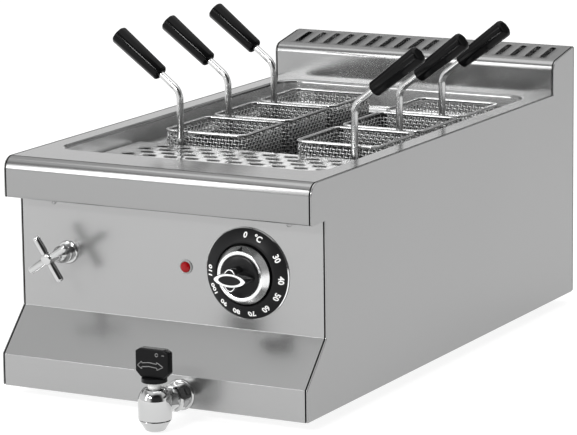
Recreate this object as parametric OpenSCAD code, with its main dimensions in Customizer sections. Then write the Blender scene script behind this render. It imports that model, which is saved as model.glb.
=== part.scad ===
// Counter-top pasta cooker with six lift-out wire baskets, a drain shelf, a thermostat dial,
// a water tap and a drain tap. Millimetres, +Z up, the front faces -Y.

/* [Body] */
// Width over the side panels
body_w = 400; // [380:5:480]
// Depth from the apron to the back panel
body_d = 730; // [710:5:800]
// Height of the deck above the counter
deck_h = 280; // [270:5:340]
// Thickness of the steel sheet
sheet = 1.5; // [1:0.1:2]
// Shadow gap between neighbouring panels
seam = 0.8; // [0.4:0.1:0.9]
// Width of the folded flanges
flange = 14; // [10:1:18]

/* [Feet] */
// Height of a foot
foot_h = 14; // [10:1:20]
// Diameter of a foot
foot_d = 36; // [24:1:50]
// Width that a foot loses towards the counter
foot_taper = 4; // [0:0.5:8]
// Distance of the feet from the sides
foot_side = 60; // [45:1:100]
// Distance of the front feet from the apron
foot_front = 110; // [80:1:180]
// Distance of the rear feet from the back
foot_rear = 60; // [45:1:120]

/* [Front] */
// Height of the apron
apron_h = 37; // [34:1:50]
// Distance of the control panel behind the apron
panel_back = 47; // [40:1:60]
// Rise of the slope between apron and control panel
slope_h = 49; // [35:1:55]
// Distance of the nose behind the apron
nose_back = 14; // [8:1:24]
// Height of the nose
nose_h = 47; // [40:1:52]
// Radius of the nose's upper edge
nose_r = 15; // [8:1:20]
// Diameter of the screw heads
screw_d = 7; // [4:0.5:9]
// Distance of the nose's screws from the sides
screw_side = 46; // [30:1:70]
// Distance of the back panel's screws from its edges
screw_rear = 12; // [8:1:16]

/* [Chimney] */
// Depth of the chimney
chimney_d = 64; // [56:1:72]
// Height of the chimney's back edge above the deck
chimney_rise = 54; // [48:1:64]
// Slope of the chimney's top
chimney_slope = 11; // [8:1:13]
// Radius of the chimney's front edge
chimney_r = 12; // [8:1:16]
// Width of a vent slot
slot_w = 8; // [5:0.5:10]
// Length of a vent slot
slot_l = 40; // [30:1:44]
// Distance from slot to slot
slot_pitch = 20.7; // [16:0.1:26]
// Bare width at each end of the slot row
slot_margin = 20; // [14:1:40]

/* [Well] */
// Width of the deck strip beside the well
well_side = 27; // [22:1:34]
// Distance from the apron to the well
well_front = 87; // [80:1:100]
// Width of the deck strip behind the well
well_back = 21; // [16:1:30]
// Corner radius of the well
well_r = 25; // [15:1:30]
// Depth of the well
well_depth = 32; // [26:1:36]
// Length of the drain shelf in front of the tank
shelf_d = 183; // [165:1:200]

/* [Drain plate] */
// Depth of the drain plate's top below the deck
plate_drop = 20; // [15:1:22]
// Gap between the drain plate and the well
plate_gap = 4; // [2:0.5:6]
// Gap between the drain plate and the tank's mouth
plate_end = 6; // [4:0.5:9]
// Length of a drain slot
hole_l = 19; // [12:0.5:22]
// Width of a drain slot
hole_w = 8; // [5:0.5:9]
// Distance from slot to slot along a row
hole_pitch = 29; // [26:0.5:36]
// Distance from row to row
hole_row = 19; // [14:0.5:24]
// Bare edge round the drain slots
hole_margin = 12; // [9:0.5:20]

/* [Tank] */
// Width of the ledge between well and tank
tank_ledge = 13; // [10:1:16]
// Corner radius of the tank
tank_r = 20; // [14:1:24]
// Height of the tank's floor above the base
tank_h = 46.5; // [44:0.5:54]
// Height of the false bottom above the tank's floor
rack_h = 33; // [29:0.5:38]
// Gap between the false bottom and the tank
rack_gap = 7; // [6:0.5:9]
// Diameter of the holes in the false bottom
rack_hole = 15; // [8:1:20]
// Distance from hole to hole in the false bottom
rack_pitch = 34; // [28:1:44]

/* [Baskets] */
// Gap between a basket and the tank's side
basket_side_gap = 14; // [10:1:18]
// Gap between the front baskets and the tank
basket_front_gap = 11; // [10:1:20]
// Gap between the rear baskets and the tank
basket_rear_gap = 9; // [7:1:18]
// Gap from row to row
row_gap = 10.5; // [10:0.5:24]
// Gap between the two columns
column_gap = 68; // [56:1:76]
// Depth of the rim below the deck
rim_drop = 8; // [5:0.5:11]
// Diameter of the rim and base wires
rim_wire = 4; // [3:0.1:5]
// Outer corner radius of a basket
basket_r = 12; // [9:0.5:18]
// Thickness of the wire net
net_t = 1.2; // [0.8:0.1:2]
// Distance from wire to wire in the net
net_pitch = 16; // [12:0.5:20]
// Width of a wire in the net
net_wire = 2.4; // [1.2:0.1:4]

/* [Handles] */
// Diameter of the handle rod
rod_d = 8.4; // [6:0.1:9]
// Distance of the rod from the basket's outer corner
rod_corner = 28; // [20:1:40]
// Height of the rod's bend above the rim
rod_rise = 50; // [40:1:70]
// Lean of the handle from upright
rod_lean = 52.5; // [40:0.5:60]
// Bend radius of the rod
rod_bend = 20; // [12:1:26]
// Bare length of rod between bend and grip
rod_neck = 32; // [26:1:45]
// Depth of the rod inside the grip
rod_socket = 30; // [20:1:50]
// Length of a grip
grip_l = 75; // [60:1:90]
// Diameter of a grip at the rod
grip_d0 = 20.5; // [14:0.5:22]
// Diameter of a grip at its far end
grip_d1 = 24; // [18:0.5:26]
// Chamfer at the ends of a grip
grip_chamfer = 2; // [1:0.5:3]

/* [Heater] */
// Diameter of the heating tube
element_d = 8.5; // [6:0.5:10]
// Number of heating loops
element_n = 3; // [1:1:3]
// Distance from loop to loop
element_pitch = 95; // [85:1:100]
// Distance between the legs of a loop
element_leg = 60; // [40:1:65]
// Height of the heating tubes above the tank's floor
element_h = 16; // [14:0.5:20]
// Distance of the loops from the tank's back
element_end = 40; // [20:1:80]
// Length of the terminals outside the flange
element_tail = 22; // [15:1:35]
// Thickness of the heater's flange
heater_t = 4; // [3:0.5:6]
// Height of the heater's flange
heater_h = 26; // [22:1:30]
// Edge of the heater's flange round its tubes
heater_edge = 13; // [10:1:16]
// Lap of the heater's flange on the tank
heater_lap = 6; // [4:0.5:8]
// Diameter of the thermostat bulb
bulb_d = 6; // [5:0.5:8]
// Length of the thermostat bulb
bulb_l = 120; // [80:1:160]

/* [Dial] */
// Distance of the dial from the right side
dial_side = 99; // [85:1:105]
// Height of dial and lamp above the base
dial_h = 151; // [146:1:156]
// Diameter of the scale plate
scale_d = 106; // [98:1:112]
// Thickness of the scale plate
scale_t = 1.5; // [1:0.1:2]
// Height of the dial's outer edge
scale_edge = 1; // [0.6:0.1:3]
// Height of the dial's figure ring at its inner edge
scale_rise = 9; // [5:0.5:9.5]
// Diameter of the figure ring's inner edge
scale_crest = 77; // [74:0.5:82]
// Room round the knob's skirt inside the dial
skirt_room = 2.5; // [1:0.5:3]
// Gap between the scale plate and the knob
skirt_gap = 0.7; // [0.4:0.1:1.5]
// Diameter of the knob's skirt
skirt_d = 67; // [60:1:72]
// Height of the knob's skirt
skirt_h = 8.5; // [6:0.5:11]
// Height of the knob's metal ring
ring_h = 9; // [6:0.5:12]
// Inner diameter of the metal ring
ring_bore = 49; // [44:1:52]
// Diameter of the metal ring's face
ring_d = 56; // [54:0.5:60]
// Length of the knob's bar
bar_l = 41; // [34:1:44]
// Width of the knob's bar
bar_w = 16; // [12:0.5:20]
// Height of the knob's bar above the metal ring
bar_h = 23; // [18:1:28]
// Length of the boss across the bar
boss_l = 26; // [20:0.5:30]
// Width of the boss along the bar
boss_w = 18; // [12:0.5:20]
// Depth of the boss's top below the bar's
boss_drop = 0.6; // [0.4:0.1:6]
// Rise of the knob's domed face
dome_h = 3; // [1:0.5:5]
// Diameter of the thermostat spindle
spindle_d = 6; // [5:0.5:8]
// Depth of the spindle in the thermostat
spindle_in = 18; // [14:1:24]
// Diameter of the thermostat's threaded bushing
bushing_d = 10; // [9:0.5:13]
// Width of the thermostat
thermostat_w = 40; // [32:1:46]
// Depth of the thermostat
thermostat_d = 44; // [34:1:50]

/* [Lamp] */
// Distance of the lamp from the dial's axis
lamp_gap = 80; // [70:1:90]
// Diameter of the lamp's lens
lamp_d = 13; // [10:0.5:16]
// Diameter of the lamp's bezel
bezel_d = 16; // [14:0.5:22]
// Thickness of the lamp's bezel
bezel_t = 2; // [1:0.5:3]
// Diameter of the lamp's barrel
barrel_d = 11; // [9:0.5:13]
// Length of the lamp's barrel behind the panel
barrel_l = 20; // [14:1:30]
// Rise of the lamp's dome
lens_h = 3; // [3:0.5:7]

/* [Fill tap] */
// Distance of the fill tap from the left side
fill_side = 64; // [62:1:84]
// Height of the fill tap above the base
fill_h = 154; // [148:1:170]
// Distance of the cross handle from the panel
cross_reach = 43; // [38:1:90]
// Span of the cross handle
cross_l = 59; // [44:1:64]
// Diameter of the cross handle's bars
cross_d = 8.7; // [6:0.1:9.5]
// Turn of the cross handle at rest
cross_turn = 33.6; // [0:0.1:45]
// Diameter of the fill spindle
stem_d = 10; // [9:0.5:12]
// Diameter of the bonnet
bonnet_d = 21; // [20:0.5:26]
// Diameter of the tap's wall flange
fill_flange_d = 27; // [25:0.5:34]
// Thickness of the tap's wall flange
fill_flange_t = 3; // [2:0.5:5]
// Diameter of the valve's threaded neck
neck_d = 17; // [15:0.5:20]
// Length of the valve's threaded neck
neck_h = 14.5; // [12:0.5:26]
// Diameter of the valve behind the panel
fill_valve_d = 26; // [24:0.5:30]
// Length of the valve behind the panel
valve_depth = 62; // [50:1:70]
// Depth of the spindle in the valve
stem_in = 16; // [12:1:24]
// Diameter of the valve's two ports
port_d = 16; // [15:0.5:18]
// Length of the valve's rear port
port_l = 10; // [8:1:16]
// Distance of the side port behind the panel
side_depth = 36; // [26:1:44]
// Reach of the side port from the valve's axis
side_l = 22; // [20:1:26]
// Diameter of the cross handle's hub
hub_d = 13; // [12:0.5:16]
// Diameter of the fill pipe
fill_pipe_d = 12; // [10:0.5:14]
// Straight length of the fill pipe behind the valve
fill_run = 40; // [32:1:60]
// Bend radius of the water pipes
pipe_bend = 16; // [13:1:18]
// Wall of the water pipes
pipe_wall = 1; // [0.8:0.1:1.5]
// Depth of the fill pipe's outlet below the well
fill_drop = 28; // [20:1:40]

/* [Drain tap] */
// Distance of the drain tap from the middle
drain_x = 38.5; // [30:0.5:60]
// Height of the drain tap's axis above the base
drain_h = 15; // [14.5:0.5:20]
// Distance of the tap's upright axis from the apron
drain_reach = 57; // [50:1:85]
// Diameter of the drain pipe
drain_pipe_d = 21; // [19:0.5:24]
// Wall of the drain pipe
drain_wall = 2.5; // [1.5:0.5:3]
// Distance of the tank's outlet behind its front wall
outlet_back = 35; // [28:1:60]
// Diameter of the drain tap's wall flange
drain_flange_d = 36; // [34:0.5:42]
// Thickness of the drain tap's wall flange
drain_flange_t = 3; // [2:0.5:5]
// Diameter of the tap's arm
arm_d = 28; // [26:0.5:30]
// Length of the union nut on the tap's arm
union_l = 20; // [10:0.5:24]
// Width that the union nut adds to the arm
union_w = 5; // [4:0.5:8]
// Diameter of the tap's body
valve_d = 38; // [34:0.5:42]
// Height of the tap's body above the axis
valve_top = 21.1; // [19:0.1:26]
// Depth of the tap's body below the axis
valve_low = 14.3; // [14:0.1:18]
// Height of the shoulder where the tap's dome starts
shoulder = 6.5; // [4:0.5:12]
// Diameter of the ball
ball_d = 22; // [20:0.5:24]
// Diameter of the water way in tap and spout
way_d = 13; // [10:0.5:14]
// Diameter of the water way in the ball
ball_way = 12; // [9:0.5:13]
// Diameter of the drain stem
drain_stem_d = 7; // [5:0.5:8]
// Height of the stem's seat in the ball
socket_z = 8; // [7:0.5:9]
// Diameter of the neck under the drain handle
drain_neck_d = 15; // [12:0.5:18]
// Height of the neck under the drain handle
drain_neck_h = 6.9; // [4:0.1:9]
// Diameter of the drain handle's hub
collar_d = 29; // [24:0.5:32]
// Height of the drain handle's hub
collar_h = 5; // [3:0.5:8]
// Depth of the stem in the drain handle
knob_socket = 14; // [10:0.5:20]
// Width of the drain handle's fin
fin_w = 42; // [36:0.5:50]
// Thickness of the drain handle's fin
fin_t = 11; // [9.5:0.5:14]
// Height of the drain handle's fin
fin_h = 33; // [24:0.5:36]
// Height of the slanted lower corners of the fin
fin_foot = 6.5; // [4:0.5:9]
// Height of the slanted upper corners of the fin
fin_top = 3.5; // [2:0.5:6]
// Width of the slanted upper corners of the fin
fin_slant = 6; // [3:0.5:9]
// Diameter of the spout's end
spout_d = 23; // [20:0.5:26]
// Height of the spout's cone
spout_h = 12.3; // [9:0.1:16]

/* [Rear fittings] */
// Distance of the water inlet from the left side
inlet_side = 22; // [20:0.5:25]
// Height of the rear fittings above the base
inlet_h = 60; // [45:1:80]
// Diameter of the water inlet
inlet_d = 20.8; // [18:0.1:24]
// Reach of the water inlet behind the back panel
inlet_reach = 22; // [16:1:30]
// Width that the inlet's nuts add to it
inlet_nut_w = 8; // [6:0.5:10]
// Length of the inlet's inner nut
inlet_nut = 10; // [8:0.5:14]
// Length of the inlet's outer nut
lock_nut = 5; // [4:0.5:8]
// Diameter of the supply pipe
supply_d = 15; // [12:0.5:16]
// Distance of the cable gland from the right side
gland_side = 60; // [40:1:90]
// Bore of the cable gland
gland_bore = 14; // [10:0.5:16]
// Diameter of the cable gland's thread
gland_d = 20; // [18:0.5:24]
// Width of the cable gland's nuts over their corners
gland_nut = 27; // [25:0.5:32]
// Length of the cable gland's outer nut
gland_l = 8; // [6:0.5:12]
// Length of the cable gland's cap
gland_cap = 9; // [6:0.5:14]
// Length of the cable gland's inner nut
gland_lock = 6; // [4:0.5:8]
// Thread of the cable gland past its inner nut
gland_tail = 4; // [2:0.5:8]

/* [Switchgear] */
// Width of the switchgear's bracket
bracket_w = 90; // [80:1:100]
// Distance of the bracket's middle from the right side
bracket_side = 60; // [55:1:70]
// Distance of the bracket behind the apron
bracket_y = 170; // [165:1:185]
// Clearance of the capillary tube over the switchgear
capillary_gap = 15; // [8:1:20]
// Diameter of the capillary tube
capillary_d = 2.4; // [2:0.1:4]
// Bend radius of the capillary tube
capillary_bend = 12; // [8:1:16]
// Distance of the capillary tube in front of the heater's terminals
capillary_out = 28; // [20:1:40]
// Width of the contactor
contactor_w = 45; // [40:1:50]
// Depth of the contactor
contactor_d = 58; // [45:1:62]
// Height of the contactor
contactor_h = 80; // [60:1:86]
// Depth of the contactor's raised face
contact_face = 12; // [6:1:16]
// Width of a terminal
terminal_w = 34; // [24:1:36]
// Depth of a terminal
terminal_d = 26; // [18:1:32]
// Height of a terminal
terminal_h = 14; // [10:1:15]
// Distance from terminal to terminal
terminal_pitch = 16; // [14.5:0.5:20]
// Number of terminals
terminal_n = 5; // [3:1:5]

/* [Hidden] */
$fn = 64;
// Clearance of a turning shaft in its bore
run = 0.05;
// Clearance of a piece that lies loose in its seat
loose = 0.3;
// Overshoot of a cutting shape
cut = 1;
// Depth of a cutting shape that runs right through
through = 400;
tap_reach = drain_reach + valve_d / 2;
front_y = (tap_reach - body_d - inlet_reach) / 2;
deck_z = deck_h - foot_h;
inner_w = body_w - 2 * sheet - 2 * seam;
panel_d = body_d - sheet - seam;
slope_top = apron_h + slope_h;
nose_z = deck_z - nose_h;
chimney_y = body_d - chimney_d;
chimney_z = deck_z + chimney_rise;
deck_end = chimney_y + flange;
well_w = body_w - 2 * well_side;
well_d = chimney_y - well_back - well_front;
well_mid = well_front + well_d / 2;
well_z = deck_z - well_depth;
tank_front = well_front + shelf_d;
tank_d = well_front + well_d - tank_ledge - tank_front;
tank_mid = tank_front + tank_d / 2;
tank_w = well_w - 2 * tank_ledge;
tank_top = well_z - sheet;
rack_z = tank_h + rack_h;
plate_z = deck_z - plate_drop;
plate_w = well_w - 2 * plate_gap;
plate_y0 = well_front + plate_gap;
plate_d = tank_front - plate_end - plate_y0;
basket_rows = 3;
basket_d = (tank_d - basket_front_gap - basket_rear_gap - (basket_rows - 1) * row_gap) / basket_rows;
basket_w = (tank_w - 2 * basket_side_gap - column_gap) / 2;
basket_x = (column_gap + basket_w) / 2;
basket_z = rack_z + loose;
rim_z = deck_z - rim_drop;
net_w = basket_w - rim_wire;
net_d = basket_d - rim_wire;
net_r = basket_r - rim_wire / 2;
net_z0 = basket_z + rim_wire + run;
net_h = rim_z - rim_wire / 2 - run - net_z0;
element_z = tank_h + element_h;
heater_y = tank_front - sheet - heater_t;
heater_w = (element_n - 1) * element_pitch + element_leg + 2 * heater_edge;
bulb_x = -element_pitch / 2;
panel_rear = panel_back + sheet;
outlet_y = tank_front + outlet_back;
screw_x = body_w / 2 - screw_side;
dial_x = body_w / 2 - dial_side;
lamp_x = dial_x - lamp_gap;
skirt_z = scale_t + skirt_gap;
ring_z = skirt_z + skirt_h;
dome_z = ring_z + ring_h;
fill_x = body_w / 2 - fill_side;
fill_out_h = tank_top - fill_drop;
inlet_x = body_w / 2 - inlet_side;
gland_x = body_w / 2 - gland_side;
bracket_x = body_w / 2 - bracket_side;
switch_z = dial_h - capillary_gap - contactor_h;
bracket_h = dial_h - capillary_gap;
capillary_y = heater_y - element_tail - capillary_out;
collar_z = valve_top + drain_neck_h + loose;
knob_z = collar_z + collar_h;
steel = "silver";
bright = "gainsboro";
black = "#202022";

function unit(v) = v / norm(v);

// Inward normal of a folded line, to the right of its run
function inward(a, b) = let(d = unit(b - a)) [d.y, -d.x];

// Point i of a folded line, moved inwards by t along the mitre of its corner
function mitre(line, i, t) =
    let(last = len(line) - 1)
    let(before = inward(line[max(i - 1, 0)], line[max(i, 1)]))
    let(after = inward(line[min(i, last - 1)], line[min(i + 1, last)]))
    line[i] + t * (before + after) / (1 + before * after);

// Outline of a folded sheet of thickness t whose outer face follows a line
function folded(line, t) =
    concat([for (i = [0:len(line) - 1]) mitre(line, i, t)], [for (i = [len(line) - 1:-1:0]) line[i]]);

// Positions of n copies at a pitch, centred on 0
function spread(n, pitch) = [for (i = [0:n - 1]) (i - (n - 1) / 2) * pitch];

// Number of copies that fit a length at a pitch, with an exact fit counted in
function copies(length, pitch) = floor(length / pitch + 0.001) + 1;

// Body frame: y runs back from the apron, z up from the base
module at_body() translate([0, front_y, foot_h]) children();

// Shape drawn in y and z, extruded along x
module along_x(length) rotate([90, 0, 90]) linear_extrude(length, center = true) children();

// Shape drawn in x and z, extruded back along y
module along_y(length) translate([0, length, 0]) rotate([90, 0, 0]) linear_extrude(length) children();

// Local z points out of the front
module facing_front() rotate([90, 0, 0]) children();

// Local z points out of the back
module facing_back() rotate([-90, 0, 0]) children();

module rounded(w, d, r) {
    square([w - 2 * r, d], center = true);
    square([w, d - 2 * r], center = true);
    for (x = [-1, 1], y = [-1, 1])
        translate([x * (w / 2 - r), y * (d / 2 - r)]) circle(r);
}

module obround(length, width) {
    square([length - width, width], center = true);
    for (s = [-1, 1]) translate([s * (length - width) / 2, 0]) circle(d = width);
}

module ring(outer, inner, h) difference() {
    cylinder(d = outer, h = h);
    translate([0, 0, -cut]) cylinder(d = inner, h = h + 2 * cut);
}

module rod_between(a, b, r) {
    d = b - a;
    translate(a) rotate([0, acos(d.z / norm(d)), atan2(d.y, d.x)]) cylinder(h = norm(d), r = r);
}

// Length taken from each leg by a bend of a given radius at corner i
function bend_run(p, i, bend) =
    i == 0 || i == len(p) - 1 ? 0
    : let(u = unit(p[i] - p[i - 1]), v = unit(p[i + 1] - p[i])) bend * tan(acos(u * v) / 2);

// Round bar that follows straight legs joined by arcs
module bent_rod(p, r, bend) {
    for (i = [0:len(p) - 2]) {
        u = unit(p[i + 1] - p[i]);
        rod_between(p[i] + u * bend_run(p, i, bend), p[i + 1] - u * bend_run(p, i + 1, bend), r);
    }
    for (i = [1:len(p) - 2]) {
        u = unit(p[i] - p[i - 1]);
        v = unit(p[i + 1] - p[i]);
        n = unit(cross(u, v));
        x = -cross(n, u);
        c = p[i] - u * bend_run(p, i, bend) - x * bend;
        multmatrix([[x.x, u.x, n.x, c.x], [x.y, u.y, n.y, c.y], [x.z, u.z, n.z, c.z], [0, 0, 0, 1]])
            rotate_extrude(angle = acos(u * v)) translate([bend, 0]) circle(r);
    }
}

// Round pipe along the same path
module bent_pipe(p, r, wall, bend) difference() {
    bent_rod(p, r, bend);
    bent_rod(p, r - wall, bend);
}

// Ring of wire bent round a rectangle and butt-welded in the middle of its back
module wire_ring(w, d, r, wire_r) {
    x = w / 2;
    y = d / 2;
    bent_rod([[run, y, 0], [x, y, 0], [x, -y, 0], [-x, -y, 0], [-x, y, 0], [-run, y, 0]], wire_r, r);
}

// Centre and tangent point of the chimney's front edge, moved inwards by t
function chimney_centre() =
    let(y = chimney_y + chimney_r)
    [y, chimney_z - (chimney_r + sin(chimney_slope) * (body_d - y)) / cos(chimney_slope)];
function chimney_tangent(t) =
    chimney_centre() + (chimney_r - t) * [-sin(chimney_slope), cos(chimney_slope)];
function chimney_at(y, t) =
    chimney_tangent(t).y + (y - chimney_tangent(t).x) * tan(chimney_slope);

// Side view of the chimney, moved inwards by t at the front and the top
module chimney_shape(t, floor_z, back_y) {
    c = chimney_centre();
    intersection() {
        union() {
            translate([chimney_y + t, floor_z]) square([back_y - chimney_y - t, c.y - floor_z]);
            translate(c) circle(chimney_r - t);
            translate(c) rotate(chimney_slope) translate([0, -chimney_rise])
                square([2 * chimney_d, chimney_rise + chimney_r - t]);
        }
        translate([chimney_y - cut, floor_z]) square([back_y - chimney_y + cut, 2 * chimney_rise]);
    }
}

// Side view of the nose and deck, moved inwards by t
module nose_shape(t, low, back_y) {
    front = nose_back + nose_r;
    translate([nose_back + t, low]) square([back_y - nose_back - t, deck_z - nose_r - low]);
    translate([front, low]) square([back_y - front, deck_z - t - low]);
    translate([front, deck_z - nose_r]) circle(nose_r - t);
}

// Base tray with up-turned sides
module base_plate() color(steel) at_body()
    translate([0, flange + seam, 0]) along_y(panel_d - flange - seam)
        polygon(folded([[inner_w / 2, flange], [inner_w / 2, 0], [-inner_w / 2, 0], [-inner_w / 2, flange]],
                       sheet));

module feet() color(black) at_body()
    for (s = [-1, 1], y = [foot_front, body_d - foot_rear])
        translate([s * (body_w / 2 - foot_side), y, -foot_h])
            cylinder(d1 = foot_d - foot_taper, d2 = foot_d, h = foot_h);

// Full side of the cabinet, from the apron to the chimney
module side_panel(side) at_body() translate([side * (body_w - sheet) / 2, 0, 0]) along_x(sheet) {
    polygon([[0, 0], [panel_d, 0], [panel_d, deck_z - nose_r], [panel_back, deck_z - nose_r],
             [panel_back, slope_top], [0, apron_h]]);
    nose_shape(0, nose_z, panel_d);
    chimney_shape(0, deck_z - nose_r, panel_d);
}

module left_side_panel() color(steel) side_panel(-1);

module right_side_panel() color(steel) side_panel(1);

// Round hole through a sheet whose front face lies at y
module sheet_hole(x, y, z, d)
    translate([x, y - cut, z]) facing_back() cylinder(d = d + 2 * loose, h = sheet + 2 * cut);

// Apron, slope and control panel, folded from one sheet
module front_panel() color(steel) at_body() difference() {
    along_x(inner_w)
        polygon(folded([[flange, 0], [0, 0], [0, apron_h], [panel_back, slope_top], [panel_back, nose_z]],
                       sheet));
    sheet_hole(dial_x, panel_back, dial_h, bushing_d);
    sheet_hole(lamp_x, panel_back, dial_h, barrel_d);
    sheet_hole(-fill_x, panel_back, fill_h, neck_d);
    sheet_hole(drain_x, 0, drain_h, drain_pipe_d);
}

// Deck with its rolled nose and the pressed well
module top_deck() color(steel) at_body() difference() {
    union() {
        along_x(inner_w) difference() {
            nose_shape(0, nose_z, deck_end);
            difference() {
                nose_shape(sheet, nose_z - cut, deck_end + cut);
                translate([nose_back, nose_z - cut]) square([panel_back + flange - nose_back, sheet + cut]);
            }
        }
        translate([0, well_mid, well_z - sheet])
            linear_extrude(well_depth) rounded(well_w + 2 * sheet, well_d + 2 * sheet, well_r + sheet);
    }
    translate([0, well_mid, well_z]) linear_extrude(well_depth + cut) rounded(well_w, well_d, well_r);
    translate([0, tank_mid, well_z - sheet - cut])
        linear_extrude(sheet + 2 * cut) rounded(tank_w, tank_d, tank_r);
}

// Flue cover with a row of vent slots
module chimney_cover() color(steel) at_body() difference() {
    along_x(inner_w) difference() {
        chimney_shape(0, deck_z, panel_d);
        chimney_shape(sheet, deck_z - cut, panel_d + cut);
    }
    slot_y = (chimney_tangent(0).x + panel_d) / 2;
    for (x = spread(copies(inner_w - 2 * slot_margin, slot_pitch), slot_pitch))
        translate([x, slot_y, chimney_at(slot_y, 0)]) rotate([chimney_slope, 0, 0])
            translate([0, 0, -3 * sheet]) linear_extrude(6 * sheet) rotate(90) obround(slot_l, slot_w);
}

module back_panel() color(steel) at_body() difference() {
    translate([-body_w / 2, body_d - sheet, 0]) cube([body_w, sheet, chimney_z]);
    sheet_hole(-inlet_x, body_d - sheet, inlet_h, inlet_d);
    sheet_hole(gland_x, body_d - sheet, inlet_h, gland_d);
}

// Domed screw head on its flat
module screw_head() {
    rise = screw_d / 4;
    cap_r = (screw_d * screw_d / 4 + rise * rise) / (2 * rise);
    intersection() {
        translate([0, 0, rise - cap_r]) sphere(cap_r);
        cylinder(d = screw_d, h = screw_d);
    }
}

// Two screws under the nose and six round the back panel
module screws() color(bright) at_body() {
    for (s = [-1, 1]) {
        translate([s * screw_x, panel_back, nose_z - screw_d]) facing_front() screw_head();
        for (z = [screw_rear, chimney_z / 2, chimney_z - screw_rear])
            translate([s * (body_w / 2 - screw_rear), body_d, z]) facing_back() screw_head();
    }
}

// Welded water tank under the well
module tank() color(steel) at_body() difference() {
    translate([0, tank_mid, tank_h - sheet]) linear_extrude(tank_top - tank_h + sheet)
        rounded(tank_w + 2 * sheet, tank_d + 2 * sheet, tank_r + sheet);
    translate([0, tank_mid, tank_h]) linear_extrude(tank_top) rounded(tank_w, tank_d, tank_r);
    translate([drain_x, outlet_y, tank_h - sheet - cut]) cylinder(d = way_d, h = sheet + 2 * cut);
    translate([-heater_w / 2 + heater_lap, tank_front - sheet - cut, element_z - heater_h / 2 + heater_lap])
        cube([heater_w - 2 * heater_lap, sheet + 2 * cut, heater_h - 2 * heater_lap]);
    translate([-fill_x, tank_front - sheet - cut, fill_out_h]) facing_back()
        cylinder(d = fill_pipe_d + 2 * run, h = sheet + 2 * cut);
}

// Perforated plate on folded sides, over the heating tubes
module false_bottom() color(steel) at_body() {
    w = tank_w - 2 * rack_gap;
    d = tank_d - 2 * rack_gap;
    translate([0, tank_mid, 0]) difference() {
        translate([0, -d / 2, 0]) along_y(d)
            polygon(folded([[-w / 2, tank_h], [-w / 2, rack_z], [w / 2, rack_z], [w / 2, tank_h]], sheet));
        for (x = spread(copies(w - 2 * rack_pitch, rack_pitch), rack_pitch))
            for (y = spread(copies(d - 2 * rack_pitch, rack_pitch), rack_pitch))
                translate([x, y, rack_z - 2 * sheet]) cylinder(d = rack_hole, h = 4 * sheet);
    }
}

// Sheathed heating loops, with their terminals outside the tank
module heating_element() color("dimgray") at_body()
    for (x = spread(element_n, element_pitch)) {
        y0 = heater_y - element_tail;
        y1 = tank_front + tank_d - element_end;
        l = element_leg / 2;
        bent_rod([[x - l, y0, element_z], [x - l, y1, element_z],
                  [x + l, y1, element_z], [x + l, y0, element_z]],
                 element_d / 2, l - element_d / 2);
    }

module heater_flange() color("darkgray") at_body() difference() {
    translate([-heater_w / 2, heater_y, element_z - heater_h / 2]) cube([heater_w, heater_t, heater_h]);
    for (x = spread(element_n, element_pitch), s = [-1, 1])
        translate([x + s * element_leg / 2, heater_y - cut, element_z]) facing_back()
            cylinder(d = element_d + 4 * run, h = heater_t + 2 * cut);
    translate([bulb_x, heater_y - cut, element_z]) facing_back()
        cylinder(d = bulb_d + 4 * run, h = heater_t + 2 * cut);
}

module at_dial() at_body() translate([dial_x, panel_back, dial_h]) facing_front() children();

// Capillary thermostat with its threaded bushing through the panel
module thermostat() color("ivory") at_dial() difference() {
    union() {
        translate([-thermostat_w / 2, -thermostat_w / 2, -sheet - thermostat_d])
            cube([thermostat_w, thermostat_w, thermostat_d]);
        translate([0, 0, -sheet - cut]) cylinder(d = bushing_d, h = sheet + cut + scale_t);
    }
    translate([0, 0, -spindle_in]) cylinder(d = spindle_d + 2 * run, h = spindle_in + scale_t + cut);
}

// Sensing bulb in the tank and its capillary tube
module thermostat_bulb() color("peru") at_body() {
    bulb_y = heater_y - 2 * heater_t;
    translate([bulb_x, bulb_y, element_z]) facing_back() cylinder(d = bulb_d, h = bulb_l);
    bent_rod([[bulb_x, bulb_y, element_z], [bulb_x, capillary_y, element_z],
              [bulb_x, capillary_y, dial_h], [dial_x, capillary_y, dial_h],
              [dial_x, panel_rear + thermostat_d, dial_h]],
             capillary_d / 2, capillary_bend);
}

// Block with a raised face, hung on the front of the bracket
module contactor() color("whitesmoke") at_body()
    translate([bracket_x - contactor_w, bracket_y - contactor_d, switch_z]) {
        inset = contactor_w / 11;
        cube([contactor_w, contactor_d, contactor_h]);
        translate([inset, -contact_face, 4 * inset])
            cube([contactor_w - 2 * inset, contact_face + cut, contactor_h - 8 * inset]);
    }

// Row of terminals, each with a window for its screw
module terminal_block() color("linen") at_body() for (k = [0:terminal_n - 1])
    translate([bracket_x + terminal_w / 4, bracket_y - terminal_d, switch_z + k * terminal_pitch])
        difference() {
            cube([terminal_w, terminal_d, terminal_h]);
            translate([terminal_w / 4, -cut, terminal_h / 4])
                cube([terminal_w / 2, terminal_d / 3 + cut, terminal_h / 2]);
        }

// Upright bracket that carries the switchgear
module service_bracket() color(steel) at_body() translate([bracket_x, 0, 0]) along_x(bracket_w)
    polygon(folded([[bracket_y + 2 * flange, sheet], [bracket_y, sheet], [bracket_y, bracket_h]], sheet));

// Dial: a sloping ring for the figures round a recess for the knob's skirt
module scale_plate() color(black) at_dial() rotate_extrude()
    polygon([[bushing_d / 2 + loose, 0], [scale_d / 2, 0], [scale_d / 2, scale_edge],
             [scale_crest / 2, scale_rise], [skirt_d / 2 + skirt_room, scale_rise],
             [skirt_d / 2 + skirt_room, scale_t], [bushing_d / 2 + loose, scale_t]]);

module knob_spindle() color(bright) at_dial()
    translate([0, 0, -spindle_in + loose]) cylinder(d = spindle_d, h = spindle_in + dome_z - loose);

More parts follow.
